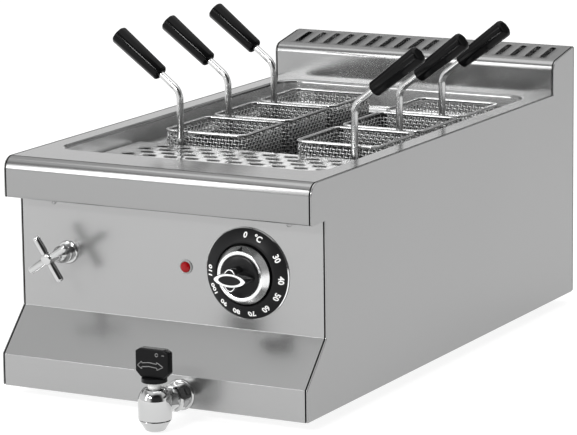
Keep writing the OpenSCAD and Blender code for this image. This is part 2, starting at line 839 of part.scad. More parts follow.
module knob_ring() color(bright) at_dial() rotate_extrude()
    polygon([[ring_bore / 2 + run, ring_z], [skirt_d / 2, ring_z],
             [ring_d / 2, dome_z], [ring_bore / 2 + run, dome_z]]);

// Upright bar with two arcs for its sides
module lens_bar(l, w, h) {
    arc_r = (l * l + w * w) / (4 * w);
    intersection_for (s = [-1, 1]) translate([0, s * (arc_r - w / 2), 0]) cylinder(r = arc_r, h = h);
}

// Moulded knob: skirt, domed face, and a lens-shaped bar with a shorter boss across it
module knob_grip() color(black) at_dial() difference() {
    cap_r = (ring_bore * ring_bore / 4 + dome_h * dome_h) / (2 * dome_h);
    union() {
        translate([0, 0, skirt_z]) cylinder(d = skirt_d, h = skirt_h);
        translate([0, 0, skirt_z]) cylinder(d = ring_bore, h = dome_z - skirt_z);
        intersection() {
            translate([0, 0, dome_z + dome_h - cap_r]) sphere(cap_r);
            translate([0, 0, skirt_z]) cylinder(d = ring_bore, h = dome_z);
        }
        translate([0, 0, dome_z - cut]) lens_bar(bar_l, bar_w, cut + bar_h);
        translate([0, 0, dome_z - cut]) rotate(90) lens_bar(boss_l, boss_w, cut + bar_h - boss_drop);
    }
    translate([0, 0, skirt_z - cut]) cylinder(d = spindle_d + 2 * run, h = dome_z - skirt_z + cut + run);
}

module at_lamp() at_body() translate([lamp_x, panel_back, dial_h]) facing_front() children();

module lamp_bezel() color(bright) at_lamp() difference() {
    union() {
        cylinder(d = bezel_d, h = bezel_t);
        translate([0, 0, -sheet - barrel_l]) cylinder(d = barrel_d, h = sheet + barrel_l + bezel_t);
    }
    translate([0, 0, -3 * bezel_t]) cylinder(d = barrel_d - 2 * sheet, h = through);
}

// Red lens: a dome on a short plug
module lamp_lens() color("crimson") at_lamp() {
    cap_r = (lamp_d * lamp_d / 4 + lens_h * lens_h) / (2 * lens_h);
    translate([0, 0, -2 * bezel_t]) cylinder(d = barrel_d - 2 * sheet - 2 * run, h = 3 * bezel_t);
    intersection() {
        translate([0, 0, bezel_t + lens_h - cap_r]) sphere(cap_r);
        translate([0, 0, bezel_t]) cylinder(d = lamp_d, h = lens_h + cut);
    }
}

module at_fill() at_body() translate([-fill_x, panel_back, fill_h]) facing_front() children();

// Valve behind the panel, with a threaded neck through it
module fill_valve() color("goldenrod") at_fill() difference() {
    union() {
        translate([0, 0, -sheet - valve_depth]) cylinder(d = fill_valve_d, h = valve_depth);
        translate([0, 0, -sheet - cut]) cylinder(d = neck_d, h = sheet + cut + neck_h);
        translate([0, 0, -sheet - valve_depth - port_l]) cylinder(d = port_d, h = port_l + cut);
        translate([0, 0, -side_depth]) rotate([0, -90, 0]) cylinder(d = port_d, h = side_l);
    }
    translate([0, 0, -stem_in]) cylinder(d = stem_d + 2 * run, h = through);
}

module fill_flange() color(bright) at_fill() ring(fill_flange_d, neck_d + 2 * run, fill_flange_t);

// Bell-shaped bonnet over the neck, on the flange
module fill_bonnet() color(bright) at_fill() translate([0, 0, fill_flange_t]) difference() {
    rotate_extrude() {
        square([bonnet_d / 2, neck_h - fill_flange_t]);
        translate([0, neck_h - fill_flange_t]) intersection() {
            circle(bonnet_d / 2);
            square([bonnet_d / 2, bonnet_d / 2 - 2]);
        }
    }
    translate([0, 0, -cut]) cylinder(d = neck_d + 2 * run, h = neck_h - fill_flange_t + cut + run);
    cylinder(d = stem_d + 2 * run, h = through);
}

module fill_spindle() color(bright) at_fill() {
    translate([0, 0, loose - stem_in]) cylinder(d = stem_d, h = cross_reach - hub_d / 2 + stem_in - loose);
    cylinder(d = stem_d - 2 * sheet, h = cross_reach);
}

// Four round bars on a short hub
module cross_handle() color(bright) at_fill() difference() {
    union() {
        translate([0, 0, cross_reach - hub_d / 2]) cylinder(d = hub_d, h = hub_d);
        for (k = [0:3]) translate([0, 0, cross_reach])
            rotate([0, 90, cross_turn + 90 * k]) cylinder(d = cross_d, h = cross_l / 2);
    }
    cylinder(d = stem_d - 2 * sheet + 2 * run, h = cross_reach + run);
}

module fill_pipe() color("peru") at_body() {
    y0 = panel_rear + valve_depth + port_l;
    bent_pipe([[-fill_x, y0, fill_h], [-fill_x, y0 + fill_run, fill_h],
               [-fill_x, y0 + fill_run, fill_out_h], [-fill_x, tank_front + cut, fill_out_h]],
              fill_pipe_d / 2, pipe_wall, pipe_bend);
}

module supply_pipe() color("peru") at_body() {
    y0 = panel_back + side_depth;
    bent_pipe([[-fill_x - side_l, y0, fill_h], [-inlet_x, y0, fill_h], [-inlet_x, y0, inlet_h],
               [-inlet_x, body_d - sheet - inlet_nut, inlet_h]], supply_d / 2, pipe_wall, pipe_bend);
}

// Place on the back panel, local z points out of it
module at_rear(x) at_body() translate([x, body_d, inlet_h]) facing_back() children();

// Rear water connection: nuts on both sides of the panel and a nipple outside
module water_inlet() color("goldenrod") at_rear(-inlet_x) difference() {
    nut_d = inlet_d + inlet_nut_w;
    inside = sheet + inlet_nut;
    union() {
        translate([0, 0, -inside]) cylinder(d = nut_d, h = inlet_nut, $fn = 6);
        cylinder(d = nut_d, h = lock_nut, $fn = 6);
        translate([0, 0, -inside]) cylinder(d = inlet_d, h = inside + inlet_reach);
    }
    translate([0, 0, -through / 2]) cylinder(d = supply_d - 2 * pipe_wall, h = through);
}

// Cable gland with its two nuts
module cable_gland() color(black) at_rear(gland_x) difference() {
    inside = sheet + gland_lock;
    union() {
        translate([0, 0, -inside]) cylinder(d = gland_nut, h = gland_lock, $fn = 6);
        translate([0, 0, -inside - gland_tail]) cylinder(d = gland_d, h = inside + gland_tail + gland_l);
        cylinder(d = gland_nut, h = gland_l, $fn = 6);
        translate([0, 0, gland_l]) cylinder(d1 = gland_nut * cos(30), d2 = gland_d, h = gland_cap);
    }
    translate([0, 0, -through / 2]) cylinder(d = gland_bore, h = through);
}

module drain_pipe() color(steel) at_body()
    bent_pipe([[drain_x, outlet_y, tank_h - sheet], [drain_x, outlet_y, drain_h],
               [drain_x, -drain_flange_t, drain_h]],
              drain_pipe_d / 2, drain_wall, drain_pipe_d);

module drain_flange() color(bright) at_body() translate([drain_x, 0, drain_h]) facing_front()
    ring(drain_flange_d, drain_pipe_d + 2 * run, drain_flange_t);

module at_drain() at_body() translate([drain_x, -drain_reach, drain_h]) children();

// Angle valve: an arm from the apron and an upright body round the ball
module drain_valve() color(bright) at_drain() difference() {
    arm_l = drain_reach - drain_flange_t;
    union() {
        facing_back() cylinder(d = arm_d, h = arm_l);
        translate([0, arm_l - union_l, 0]) facing_back() cylinder(d = arm_d + union_w, h = union_l, $fn = 6);
        translate([0, 0, -valve_low]) cylinder(d = valve_d, h = shoulder + valve_low);
        intersection() {
            translate([0, 0, shoulder]) sphere(d = valve_d);
            cylinder(d = valve_d, h = valve_top);
        }
    }
    facing_back() cylinder(d = way_d, h = drain_reach);
    sphere(d = ball_d + 2 * loose);
    translate([0, 0, -valve_low - cut]) cylinder(d = ball_d + 2 * loose, h = cut + valve_low);
    cylinder(d = drain_stem_d + 2 * run, h = valve_top + cut);
}

// Spout with the ball's lower seat on its top
module drain_spout() color(bright) at_drain() difference() {
    seat = sqrt(pow(ball_d / 2 + loose, 2) - pow(way_d / 2, 2));
    union() {
        translate([0, 0, -valve_low - spout_h]) cylinder(d1 = spout_d, d2 = valve_d, h = spout_h);
        translate([0, 0, -valve_low - cut]) cylinder(d = ball_d, h = cut + valve_low - seat);
    }
    translate([0, 0, -valve_low - spout_h - cut]) cylinder(d = way_d, h = spout_h + valve_low);
    sphere(d = ball_d + 2 * loose);
}

module drain_neck() color("whitesmoke") at_drain() translate([0, 0, valve_top])
    ring(drain_neck_d, drain_stem_d + 2 * run, drain_neck_h);

// Ball with one way down and one to the side, closed at rest
module drain_ball() color(bright) at_drain() difference() {
    sphere(d = ball_d);
    translate([0, 0, -ball_d]) cylinder(d = ball_way, h = ball_d);
    rotate([0, 90, 0]) cylinder(d = ball_way, h = ball_d);
    translate([0, 0, socket_z]) cylinder(d = drain_stem_d + 2 * run, h = ball_d);
}

module drain_stem() color(bright) at_drain() translate([0, 0, socket_z + run])
    cylinder(d = drain_stem_d, h = collar_z + knob_socket - run - socket_z);

// Handle: an upright fin with slanted corners on a round hub
module drain_knob() color(black) at_drain() difference() {
    union() {
        translate([0, 0, collar_z]) cylinder(d = collar_d, h = collar_h + cut);
        translate([0, fin_t / 2, knob_z]) rotate([90, 0, 0]) linear_extrude(fin_t)
            polygon([[-collar_d / 2, 0], [collar_d / 2, 0], [fin_w / 2, fin_foot], [fin_w / 2, fin_h - fin_top],
                     [fin_w / 2 - fin_slant, fin_h], [fin_slant - fin_w / 2, fin_h],
                     [-fin_w / 2, fin_h - fin_top], [-fin_w / 2, fin_foot]]);
    }
    translate([0, 0, collar_z - cut]) cylinder(d = drain_stem_d + 2 * run, h = knob_socket + cut + run);
}

// Removable perforated plate, its edges folded down on to the well's floor
module drain_plate() color(steel) at_body() {
    r = well_r - plate_gap;
    h = plate_z - well_z;
    mid = plate_y0 + plate_d / 2;
    rows = copies(plate_d - 2 * hole_margin - hole_w, hole_row);
    columns = copies(plate_w - 2 * hole_margin - hole_l - hole_pitch / 2, hole_pitch);
    translate([0, mid, well_z]) difference() {
        linear_extrude(h) plate_outline(plate_w, plate_d, r);
        translate([0, 0, -cut]) linear_extrude(h - sheet + cut)
            plate_outline(plate_w - 2 * sheet, plate_d - 2 * sheet, r - sheet);
        translate([-plate_w, plate_d / 2 - 2 * sheet, -cut]) cube([2 * plate_w, 3 * sheet, h / 2 + cut]);
        for (j = [0:rows - 1], x = spread(columns, hole_pitch))
            translate([x + (j % 2 - 0.5) * hole_pitch / 2, spread(rows, hole_row)[j], h - 2 * sheet])
                linear_extrude(4 * sheet) obround(hole_l, hole_w);
    }
}

// Plate with round corners in front and square ones behind
module plate_outline(w, d, r) {
    translate([0, -r / 2]) rounded(w, d - r, r);
    translate([-w / 2, d / 2 - 2 * r]) square([w, 2 * r]);
}

// Baskets 1 to 3 stand on the left, 4 to 6 on the right, each from front to back
function basket_side(i) = i <= basket_rows ? -1 : 1;
function basket_y(i) =
    tank_front + basket_front_gap + basket_d / 2 + ((i - 1) % basket_rows) * (basket_d + row_gap);
module at_basket(i) at_body() translate([basket_side(i) * basket_x, basket_y(i), 0]) children();

// Flat piece of net: a square grid of windows inside a plain edge
module net(w, h) {
    nx = max(1, floor((w - net_wire) / net_pitch));
    ny = max(1, floor((h - net_wire) / net_pitch));
    px = (w - net_wire) / nx;
    py = (h - net_wire) / ny;
    difference() {
        square([w, h], center = true);
        for (x = spread(nx, px), y = spread(ny, py))
            translate([x, y]) square([px - net_wire, py - net_wire], center = true);
    }
}

// Net round one corner, with a slot for each row of windows
module net_corner() {
    ny = max(1, floor((net_h - net_wire) / net_pitch));
    py = (net_h - net_wire) / ny;
    turn = run / net_r * 180 / PI;
    difference() {
        rotate(turn) rotate_extrude(angle = 90 - 2 * turn)
            translate([net_r - net_t / 2, 0]) square([net_t, net_h]);
        for (k = [0:ny - 1]) translate([0, 0, net_wire + k * py]) rotate(15)
            rotate_extrude(angle = 60) translate([net_r - net_t, 0]) square([2 * net_t, py - net_wire]);
    }
}

// Wire net of a basket: four walls, four corners and a floor
module basket_net(i) color("lightgray") at_basket(i) {
    side_w = net_w - 2 * net_r;
    side_d = net_d - 2 * net_r;
    for (s = [-1, 1]) {
        translate([0, s * net_d / 2 + net_t / 2, net_z0 + net_h / 2]) rotate([90, 0, 0])
            linear_extrude(net_t) net(side_w, net_h);
        translate([s * net_w / 2 - net_t / 2, 0, net_z0 + net_h / 2]) rotate([90, 0, 90])
            linear_extrude(net_t) net(side_d, net_h);
    }
    for (k = [0:3])
        translate([(k == 0 || k == 3 ? 1 : -1) * side_w / 2, (k < 2 ? 1 : -1) * side_d / 2, net_z0])
            rotate(90 * k) net_corner();
    translate([0, 0, net_z0 - net_t - run]) linear_extrude(net_t) {
        w = net_w - rim_wire - 2 * run;
        d = net_d - rim_wire - 2 * run;
        r = net_r - rim_wire / 2 - run;
        intersection() {
            rounded(w, d, r);
            net(w, d);
        }
        difference() {
            rounded(w, d, r);
            rounded(w - 2 * net_wire, d - 2 * net_wire, r - net_wire);
        }
    }
}

// Place of a handle: z up the rod, x towards the lean
module at_handle(i) at_basket(i)
    translate([basket_side(i) * (basket_w / 2 - rod_corner), -(basket_d + rod_d) / 2 - run, rim_z + rod_rise])
        rotate(basket_side(i) < 0 ? 180 : 0) children();

// Handle rod: a straight leg, one bend and a leaning leg
module handle_rod() {
    bend = rod_bend * tan(rod_lean / 2);
    leg = rim_z + rod_rise - basket_z - bend;
    translate([0, 0, -bend]) {
        translate([0, 0, -leg]) cylinder(d = rod_d, h = leg);
        translate([rod_bend, 0, 0]) rotate([90, 0, 180])
            rotate_extrude(angle = rod_lean) translate([rod_bend, 0]) circle(d = rod_d);
        translate([rod_bend, 0, 0]) rotate([0, rod_lean, 0]) translate([-rod_bend, 0, 0])
            cylinder(d = rod_d, h = rod_neck + rod_socket - bend);
    }
}

// Rim, base ring and bent handle rod
module basket_frame(i) color(bright) {
    for (z = [rim_z, basket_z + rim_wire / 2])
        at_basket(i) translate([0, 0, z]) wire_ring(net_w, net_d, net_r, rim_wire / 2);
    at_handle(i) handle_rod();
}

// Eight-sided tapered grip with a socket for the rod
module basket_grip(i) color(black) at_handle(i) rotate([0, rod_lean, 0]) translate([0, 0, rod_neck])
difference() {
    taper = (grip_d1 - grip_d0) / grip_l;
    low = grip_d0 + taper * grip_chamfer;
    high = grip_d1 - taper * grip_chamfer;
    body_l = grip_l - 2 * grip_chamfer;
    rotate(22.5) {
        cylinder(d1 = low - 2 * grip_chamfer, d2 = low, h = grip_chamfer, $fn = 8);
        translate([0, 0, grip_chamfer]) cylinder(d1 = low, d2 = high, h = body_l, $fn = 8);
        translate([0, 0, grip_chamfer + body_l])
            cylinder(d1 = high, d2 = high - 2 * grip_chamfer, h = grip_chamfer, $fn = 8);
    }
    translate([0, 0, -cut]) cylinder(d = rod_d + 2 * run, h = rod_socket + cut + run);
}

base_plate();
feet();
left_side_panel();
right_side_panel();
front_panel();
top_deck();
chimney_cover();
back_panel();
screws();
tank();
false_bottom();
heating_element();
heater_flange();
thermostat();
thermostat_bulb();
contactor();
terminal_block();
service_bracket();
scale_plate();
knob_spindle();
knob_ring();
knob_grip();
lamp_bezel();
lamp_lens();
fill_valve();
fill_flange();
fill_bonnet();
fill_spindle();
cross_handle();
fill_pipe();
supply_pipe();
water_inlet();
cable_gland();
drain_pipe();
drain_flange();
drain_valve();
drain_spout();
drain_neck();
drain_ball();
drain_stem();
drain_knob();
drain_plate();
basket_net(1);  // basket_1_net
basket_frame(1);  // basket_1_frame
basket_grip(1);  // basket_1_grip
basket_net(2);  // basket_2_net
basket_frame(2);  // basket_2_frame
basket_grip(2);  // basket_2_grip
basket_net(3);  // basket_3_net
basket_frame(3);  // basket_3_frame
basket_grip(3);  // basket_3_grip
basket_net(4);  // basket_4_net
basket_frame(4);  // basket_4_frame
basket_grip(4);  // basket_4_grip
basket_net(5);  // basket_5_net
basket_frame(5);  // basket_5_frame
basket_grip(5);  // basket_5_grip
basket_net(6);  // basket_6_net
basket_frame(6);  // basket_6_frame
basket_grip(6);  // basket_6_grip
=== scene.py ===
import bmesh
import bpy
import numpy as np
from mathutils import Matrix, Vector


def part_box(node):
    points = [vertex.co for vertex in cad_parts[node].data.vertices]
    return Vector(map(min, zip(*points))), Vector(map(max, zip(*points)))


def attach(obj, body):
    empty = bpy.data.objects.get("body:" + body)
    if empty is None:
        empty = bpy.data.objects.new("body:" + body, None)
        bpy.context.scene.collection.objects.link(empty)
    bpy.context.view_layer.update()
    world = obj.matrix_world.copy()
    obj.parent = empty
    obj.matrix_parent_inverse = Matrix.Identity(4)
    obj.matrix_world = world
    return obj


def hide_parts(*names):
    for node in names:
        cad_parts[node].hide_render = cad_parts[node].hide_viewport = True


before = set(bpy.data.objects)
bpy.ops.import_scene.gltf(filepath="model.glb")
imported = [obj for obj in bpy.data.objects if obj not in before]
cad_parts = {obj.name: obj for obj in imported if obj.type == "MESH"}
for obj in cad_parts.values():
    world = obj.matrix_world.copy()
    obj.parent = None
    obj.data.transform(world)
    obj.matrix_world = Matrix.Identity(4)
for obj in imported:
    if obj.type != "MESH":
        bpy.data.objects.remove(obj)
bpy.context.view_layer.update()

# Camera, light and floor: a long lens from the front right, a pale floor, three soft lamps, and a white
# surround with a dark band behind the part, a grey one high in front and a dark patch on the camera's own
# side. They belong to the picture only.
apron_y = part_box("front_panel")[0][1]
base_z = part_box("base_plate")[0][2]
lens = bpy.data.cameras.new("lens")
lens.sensor_fit = "HORIZONTAL"
lens.sensor_width = 36.0
lens.lens = 203.0
lens.shift_x = -0.0142
lens.clip_end = 60.0
viewer = bpy.data.objects.new("viewer", lens)
bpy.context.scene.collection.objects.link(viewer)
viewer.matrix_world = Matrix((
    (0.88073, -0.08431, 0.46606, 1.84093),
    (0.47348, 0.18124, -0.86196, apron_y - 3.05474),
    (-0.01180, 0.97982, 0.19954, base_z + 0.93818),
    (0, 0, 0, 1)))
bpy.context.scene.camera = viewer
bpy.context.scene.view_settings.view_transform = "Standard"


def plug(tree, target, inputs):
    """Inputs of a shader node, by label or number: an output is linked, any other value is set."""
    for key, value in inputs.items():
        if isinstance(value, bpy.types.NodeSocket):
            tree.links.new(value, target.inputs[key])
        else:
            target.inputs[key].default_value = value


def node(tree, kind, inputs, **options):
    """Outputs of a new shader node, whose options are set before its inputs are plugged."""
    made = tree.nodes.new("ShaderNode" + kind)
    for key, value in options.items():
        setattr(made, key, value)
    plug(tree, made, inputs)
    return made.outputs


def sky_greys(height, stops):
    """Colour of the surround by height: white at the horizon, near white overhead, and greys at stops between."""
    ramp = sky.nodes.new("ShaderNodeValToRGB")
    ramp.color_ramp.elements[0].color = (1.0, 1.0, 1.0, 1)
    ramp.color_ramp.elements[1].color = (0.92, 0.92, 0.93, 1)
    for place, grey in stops:
        ramp.color_ramp.elements.new(place).color = (grey, grey, grey, 1)
    plug(sky, ramp, {"Fac": height})
    return ramp.outputs["Color"]


surround = bpy.data.worlds.new("surround")
bpy.context.scene.world = surround
surround.use_nodes = True
sky = surround.node_tree
sky.nodes.clear()
sky_way = node(sky, "TexCoord", {})["Generated"]
sky_part = node(sky, "SeparateXYZ", {0: sky_way})
sky_front = sky_greys(sky_part["Z"], ((0.30, 1.0), (0.48, 0.85), (0.62, 0.35), (0.74, 0.45), (0.81, 1.0)))
sky_back = sky_greys(
    sky_part["Z"], ((0.235, 1.0), (0.275, 0.06), (0.39, 0.06), (0.47, 0.65), (0.60, 0.75), (0.82, 0.85)))
sky_half = node(sky, "MapRange", {"Value": sky_part["Y"], "From Min": -0.1, "From Max": 0.25},
                interpolation_type="SMOOTHSTEP")["Result"]
sky_both = node(sky, "Mix", {"Factor": sky_half, "A": sky_front, "B": sky_back}, data_type="RGBA")["Result"]
sky_side = node(sky, "VectorMath", {0: sky_way, 1: (0.70, -0.68, 0.22)}, operation="DOT_PRODUCT")["Value"]
sky_dark = node(sky, "MapRange", {
    "Value": sky_side, "From Min": 0.58, "From Max": 0.86, "To Min": 1.05, "To Max": 0.05},
    interpolation_type="SMOOTHSTEP")["Result"]
sky_light = node(sky, "Background", {"Color": sky_both, "Strength": sky_dark})["Background"]
node(sky, "OutputWorld", {"Surface": sky_light})

for lamp_name, place, aim, size, power in (
        ("overhead", (0.1, 0.15, 2.3), (0.0, 0.0, 0.0), (2.4, 2.4), 17.0),
        ("front_left", (-1.45, -2.48, 1.36), (0.0, 0.0, 0.2), (0.5, 1.9), 17.0),
        ("front_high", (-0.2, -2.87, 1.50), (-0.15, -0.1, 0.35), (0.8, 0.22), 42.0)):
    lamp = bpy.data.lights.new(lamp_name, "AREA")
    lamp.shape = "RECTANGLE"
    lamp.size, lamp.size_y = size
    lamp.energy = power
    holder = bpy.data.objects.new(lamp_name, lamp)
    bpy.context.scene.collection.objects.link(holder)
    z_axis = np.subtract(place, aim) / np.linalg.norm(np.subtract(place, aim))
    x_axis = np.cross((0, 0, 1), z_axis) / np.linalg.norm(np.cross((0, 0, 1), z_axis))
    holder.matrix_world = Matrix(np.vstack([
        np.column_stack([x_axis, np.cross(z_axis, x_axis), z_axis, place]), (0, 0, 0, 1)]).tolist())


def grid_faces(rows, cols, close_rows=False, close_cols=False):
    """Faces of a grid of points: cell (i, j) joins its four corners, and a closed way joins its last line to its
    first. A face looks along the cross product of the second way with the first."""
    i, j = np.meshgrid(np.arange(rows - (not close_rows)), np.arange(cols - (not close_cols)), indexing="ij")
    k, m = (i + 1) % rows, (j + 1) % cols
    return np.stack([i * cols + j, i * cols + m, k * cols + m, k * cols + j], -1).reshape(-1, 4)


def piece(name, parts, finish, crease=35.0, edge=None, crown=None):
    """One mesh at the origin from (points, faces) parts: equal points are joined, and it is shaded smooth except
    over edges sharper than crease degrees. A part's third entry counts its last faces, which are cut edges with
    their own finish. A crown value for each point is kept as an attribute that the finish can read."""
    starts = np.cumsum([0] + [len(part[0]) for part in parts])
    faces = [(np.asarray(f) + s).tolist() for s, part in zip(starts, parts) for f in part[1]]
    mesh = bpy.data.meshes.new(name)
    mesh.from_pydata(np.concatenate([part[0] for part in parts]).tolist(), [], faces)
    if edge:
        mesh.polygons.foreach_set("material_index", np.concatenate([
            np.arange(len(part[1])) >= len(part[1]) - part[2] for part in parts]).astype(np.int32))
    if crown is not None:
        mesh.attributes.new("crown", "FLOAT", "POINT").data.foreach_set("value", crown.astype(np.float32))
    joined = bmesh.new()
    joined.from_mesh(mesh)
    bmesh.ops.remove_doubles(joined, verts=joined.verts, dist=2e-7)
    joined.to_mesh(mesh)
    joined.free()
    mesh.polygons.foreach_set("use_smooth", np.ones(len(mesh.polygons), bool))
    mesh.set_sharp_from_angle(angle=np.radians(crease))
    for worn in (finish, edge) if edge else (finish,):
        mesh.materials.append(worn)
    made = bpy.data.objects.new(name, mesh)
    bpy.context.scene.collection.objects.link(made)
    return made


def new_finish(name):
    """New material, its node tree and its surface node."""
    made = bpy.data.materials.new(name)
    made.use_nodes = True
    return made, made.node_tree, made.node_tree.nodes["Principled BSDF"]


floor_paint, floor_tree, floor_shader = new_finish("floor_paint")
plug(floor_tree, floor_shader, {
    "Base Color": (0.36, 0.36, 0.36, 1), "Emission Color": (1.0, 1.0, 1.0, 1), "Emission Strength": 0.80,
    "Roughness": 0.9, "Specular IOR Level": 0.1})
floor_u, floor_v = np.meshgrid(np.linspace(-14, 14, 3), np.linspace(-14, 14, 3), indexing="ij")
floor = piece("floor", [
    (np.stack([floor_u, floor_v, 0 * floor_u], -1).reshape(-1, 3), grid_faces(3, 3)[:, ::-1])], floor_paint)

# Base tray and feet: a folded steel tray closes the cabinet below, and four moulded rubber feet are
# screwed under it. Each foot is turned, with a rounded sole edge and a groove below its rim.


def sheet_steel(name, grey, rough, stretch, grain=0.02, bump=0.004, warm=(1.0, 1.004, 1.002), metal=1.0):
    """Satin metal: a fine rolled grain drawn out along one way (a small stretch number) in gloss and relief, and
    slow patches of tone."""
    steel, tree, shader = new_finish(name)
    place = node(tree, "TexCoord", {})["Object"]
    drawn = node(tree, "Mapping", {"Vector": place, "Scale": stretch})["Vector"]
    lines = node(tree, "TexNoise", {"Vector": drawn, "Scale": 1.0, "Detail": 4.0})["Fac"]
    patches = node(tree, "TexNoise", {"Vector": place, "Scale": 5.0, "Detail": 2.0})["Fac"]
    dark, light = ((*[grey * part * c for c in warm], 1) for part in (0.98, 1.02))
    tone = node(tree, "Mix", {"Factor": patches, "A": dark, "B": light}, data_type="RGBA")["Result"]
    gloss = node(tree, "MapRange", {
        "Value": lines, "From Min": 0.3, "From Max": 0.7, "To Min": rough - grain, "To Max": rough + grain})
    relief = node(tree, "Bump", {"Height": lines, "Strength": bump, "Distance": 0.0004})
    plug(tree, shader, {
        "Metallic": metal, "Base Color": tone, "Roughness": gloss["Result"], "Normal": relief["Normal"]})
    return steel


def moulded(name, colour, rough, speckle=0.02, bump=0.03, shine=0.5):
    """Moulded plastic or rubber: an even colour, a fine eggshell grain in gloss and relief."""
    plastic, tree, shader = new_finish(name)
    place = node(tree, "TexCoord", {})["Object"]
    fine = node(tree, "TexNoise", {"Vector": place, "Scale": 900.0, "Detail": 2.0})["Fac"]
    dark, light = ((*[part * c for c in colour], 1) for part in (0.88, 1.12))
    tone = node(tree, "Mix", {"Factor": fine, "A": dark, "B": light}, data_type="RGBA")["Result"]
    gloss = node(tree, "MapRange", {"Value": fine, "To Min": rough - speckle, "To Max": rough + speckle})
    relief = node(tree, "Bump", {"Height": fine, "Strength": bump, "Distance": 0.0002})
    plug(tree, shader, {
        "Specular IOR Level": shine, "Base Color": tone, "Roughness": gloss["Result"], "Normal": relief["Normal"]})
    return plastic


def wears(finish, *nodes):
    """Solids that keep their CAD shape get a finish in all their material slots."""
    for name in nodes:
        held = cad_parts[name].data.materials
        for k in range(len(held)):
            held[k] = finish
        if not held:
            held.append(finish)


def turned(outline, sides, centre, axis):
    """Turned piece: an outline of (radius, height) pairs in millimetres, from the axis outwards, up and back in,
    is swept once round an axis. It closes where the radius is 0."""
    r, h = np.asarray(outline, float).T[:, None, :, None] / 1000
    angle = np.arange(sides) * 2 * np.pi / sides
    axis = np.asarray(axis, float)
    u = np.cross(axis, (0.3, 0.5, 0.8))
    u /= np.linalg.norm(u)
    ring = np.cos(angle)[:, None] * u + np.sin(angle)[:, None] * np.cross(axis, u)
    points = np.asarray(centre) + r * ring[:, None, :] + h * axis
    return points.reshape(-1, 3), grid_faces(sides, len(outline), close_rows=True)[:, ::-1]


def fitted(name, parts, finish, body, slot, *nodes, **how):
    """Piece that rides on a body, takes the given finish and hides the solids that it stands for. Its slot argument
    is not used.
    """
    made = piece(name, parts, finish, **how)
    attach(made, body)
    if nodes:
        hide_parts(*nodes)


to_right, to_rear, upward = np.eye(3)
to_front = -to_rear
tray_steel = sheet_steel("tray_steel", 0.46, 0.34, (4.0, 900.0, 900.0))
foot_rubber = moulded("foot_rubber", (0.022, 0.022, 0.023), 0.6, 0.08)
wears(tray_steel, "base_plate")
foot_low, foot_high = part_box("feet")
foot_r = 0.018
foot_outline = [(0, 0), (14, 0), (15.5, 0.4), (16.3, 1.6), (16.8, 8), (16, 9.2), (16, 10.4), (17.2, 11.4),
                (18, 12.4), (18, 14), (0, 14)]
fitted("feet_rubber", [
    turned(foot_outline, 40, (x, y, 0), upward) for x in (foot_low[0] + foot_r, foot_high[0] - foot_r)
    for y in (foot_low[1] + foot_r, foot_high[1] - foot_r)], foot_rubber, "cabinet", "rubber", "feet")

# Side panels: each is one sheet from the apron to the chimney, cut to the cabinet's side view and
# folded over at its rim, so a narrow rounded edge catches the light all the way round.


def rolled(corners, radii, steps, closed=True, keep=0.0006):
    """Bent line through corners: each corner becomes an arc of its radius tangent to both legs, its points spread
    evenly over the turn, with one more point a little way along each leg that keeps the flats flat. An open line
    keeps its two end points."""
    p = np.asarray(corners, float)
    r = np.broadcast_to(np.asarray(radii, float), len(p))
    u = p - np.roll(p, 1, 0)
    v = np.roll(p, -1, 0) - p
    u /= np.linalg.norm(u, axis=1)[:, None]
    v /= np.linalg.norm(v, axis=1)[:, None]
    turn = np.arctan2(u[:, 0] * v[:, 1] - u[:, 1] * v[:, 0], (u * v).sum(1))
    side = np.sign(turn)[:, None] * np.stack([-u[:, 1], u[:, 0]], 1)
    leg = (r * np.tan(np.abs(turn) / 2))[:, None]
    centre = p - u * leg + side * r[:, None]
    arm = -side * r[:, None]
    a = turn[:, None] * np.linspace(0, 1, steps)
    x = centre[:, :1] + arm[:, :1] * np.cos(a) - arm[:, 1:] * np.sin(a)
    y = centre[:, 1:] + arm[:, :1] * np.sin(a) + arm[:, 1:] * np.cos(a)
    bent = np.concatenate([
        (p - u * (leg + keep))[:, None], np.stack([x, y], -1), (p + v * (leg + keep))[:, None]], 1)
    if closed:
        return bent.reshape(-1, 2)
    return np.concatenate([p[:1], bent[1:-1].reshape(-1, 2), p[-1:]])


def inset(line, amount):
    """A closed line moved to its left by an amount along the mean normal of its two neighbours."""
    tangent = np.roll(line, -1, 0) - np.roll(line, 1, 0)
    tangent /= np.maximum(np.linalg.norm(tangent, axis=1), 1e-12)[:, None]
    return line + amount * np.stack([-tangent[:, 1], tangent[:, 0]], 1)


def capped(loops):
    """Skin over closed loops from the first to the last, with flat faces over the two ends."""
    rows, cols = loops.shape[:2]
    ends = [list(range(cols))[::-1], list(range((rows - 1) * cols, rows * cols))]
    return loops.reshape(-1, 3), grid_faces(rows, cols, close_cols=True).tolist() + ends


def rolled_plate(line, thickness, roll, origin, first, second, both=False):
    """Flat plate with a rounded front edge: a closed outline, drawn in the first and second directions, runs from
    the back face round a quarter circle of the roll's radius on to the front face, and flat faces close both. It
    looks along the two directions' cross product. The back edge may be rounded alike."""
    angle = np.linspace(0, np.pi / 2, 6)
    moved = np.concatenate([[0.0], roll * (1 - np.cos(angle)), [roll + 0.0006]])
    depth = np.concatenate([[thickness], roll * (1 - np.sin(angle)), [0.0]])
    if both:
        moved = np.concatenate([moved[:0:-1], moved[1:]])
        depth = np.concatenate([thickness - depth[:0:-1], depth[1:]])
    loops = np.stack([inset(line, m) for m in moved])
    flat = np.asarray(origin) + loops[:, :, :1] * first + loops[:, :, 1:] * second
    return capped(flat - depth[:, None, None] * np.cross(first, second))


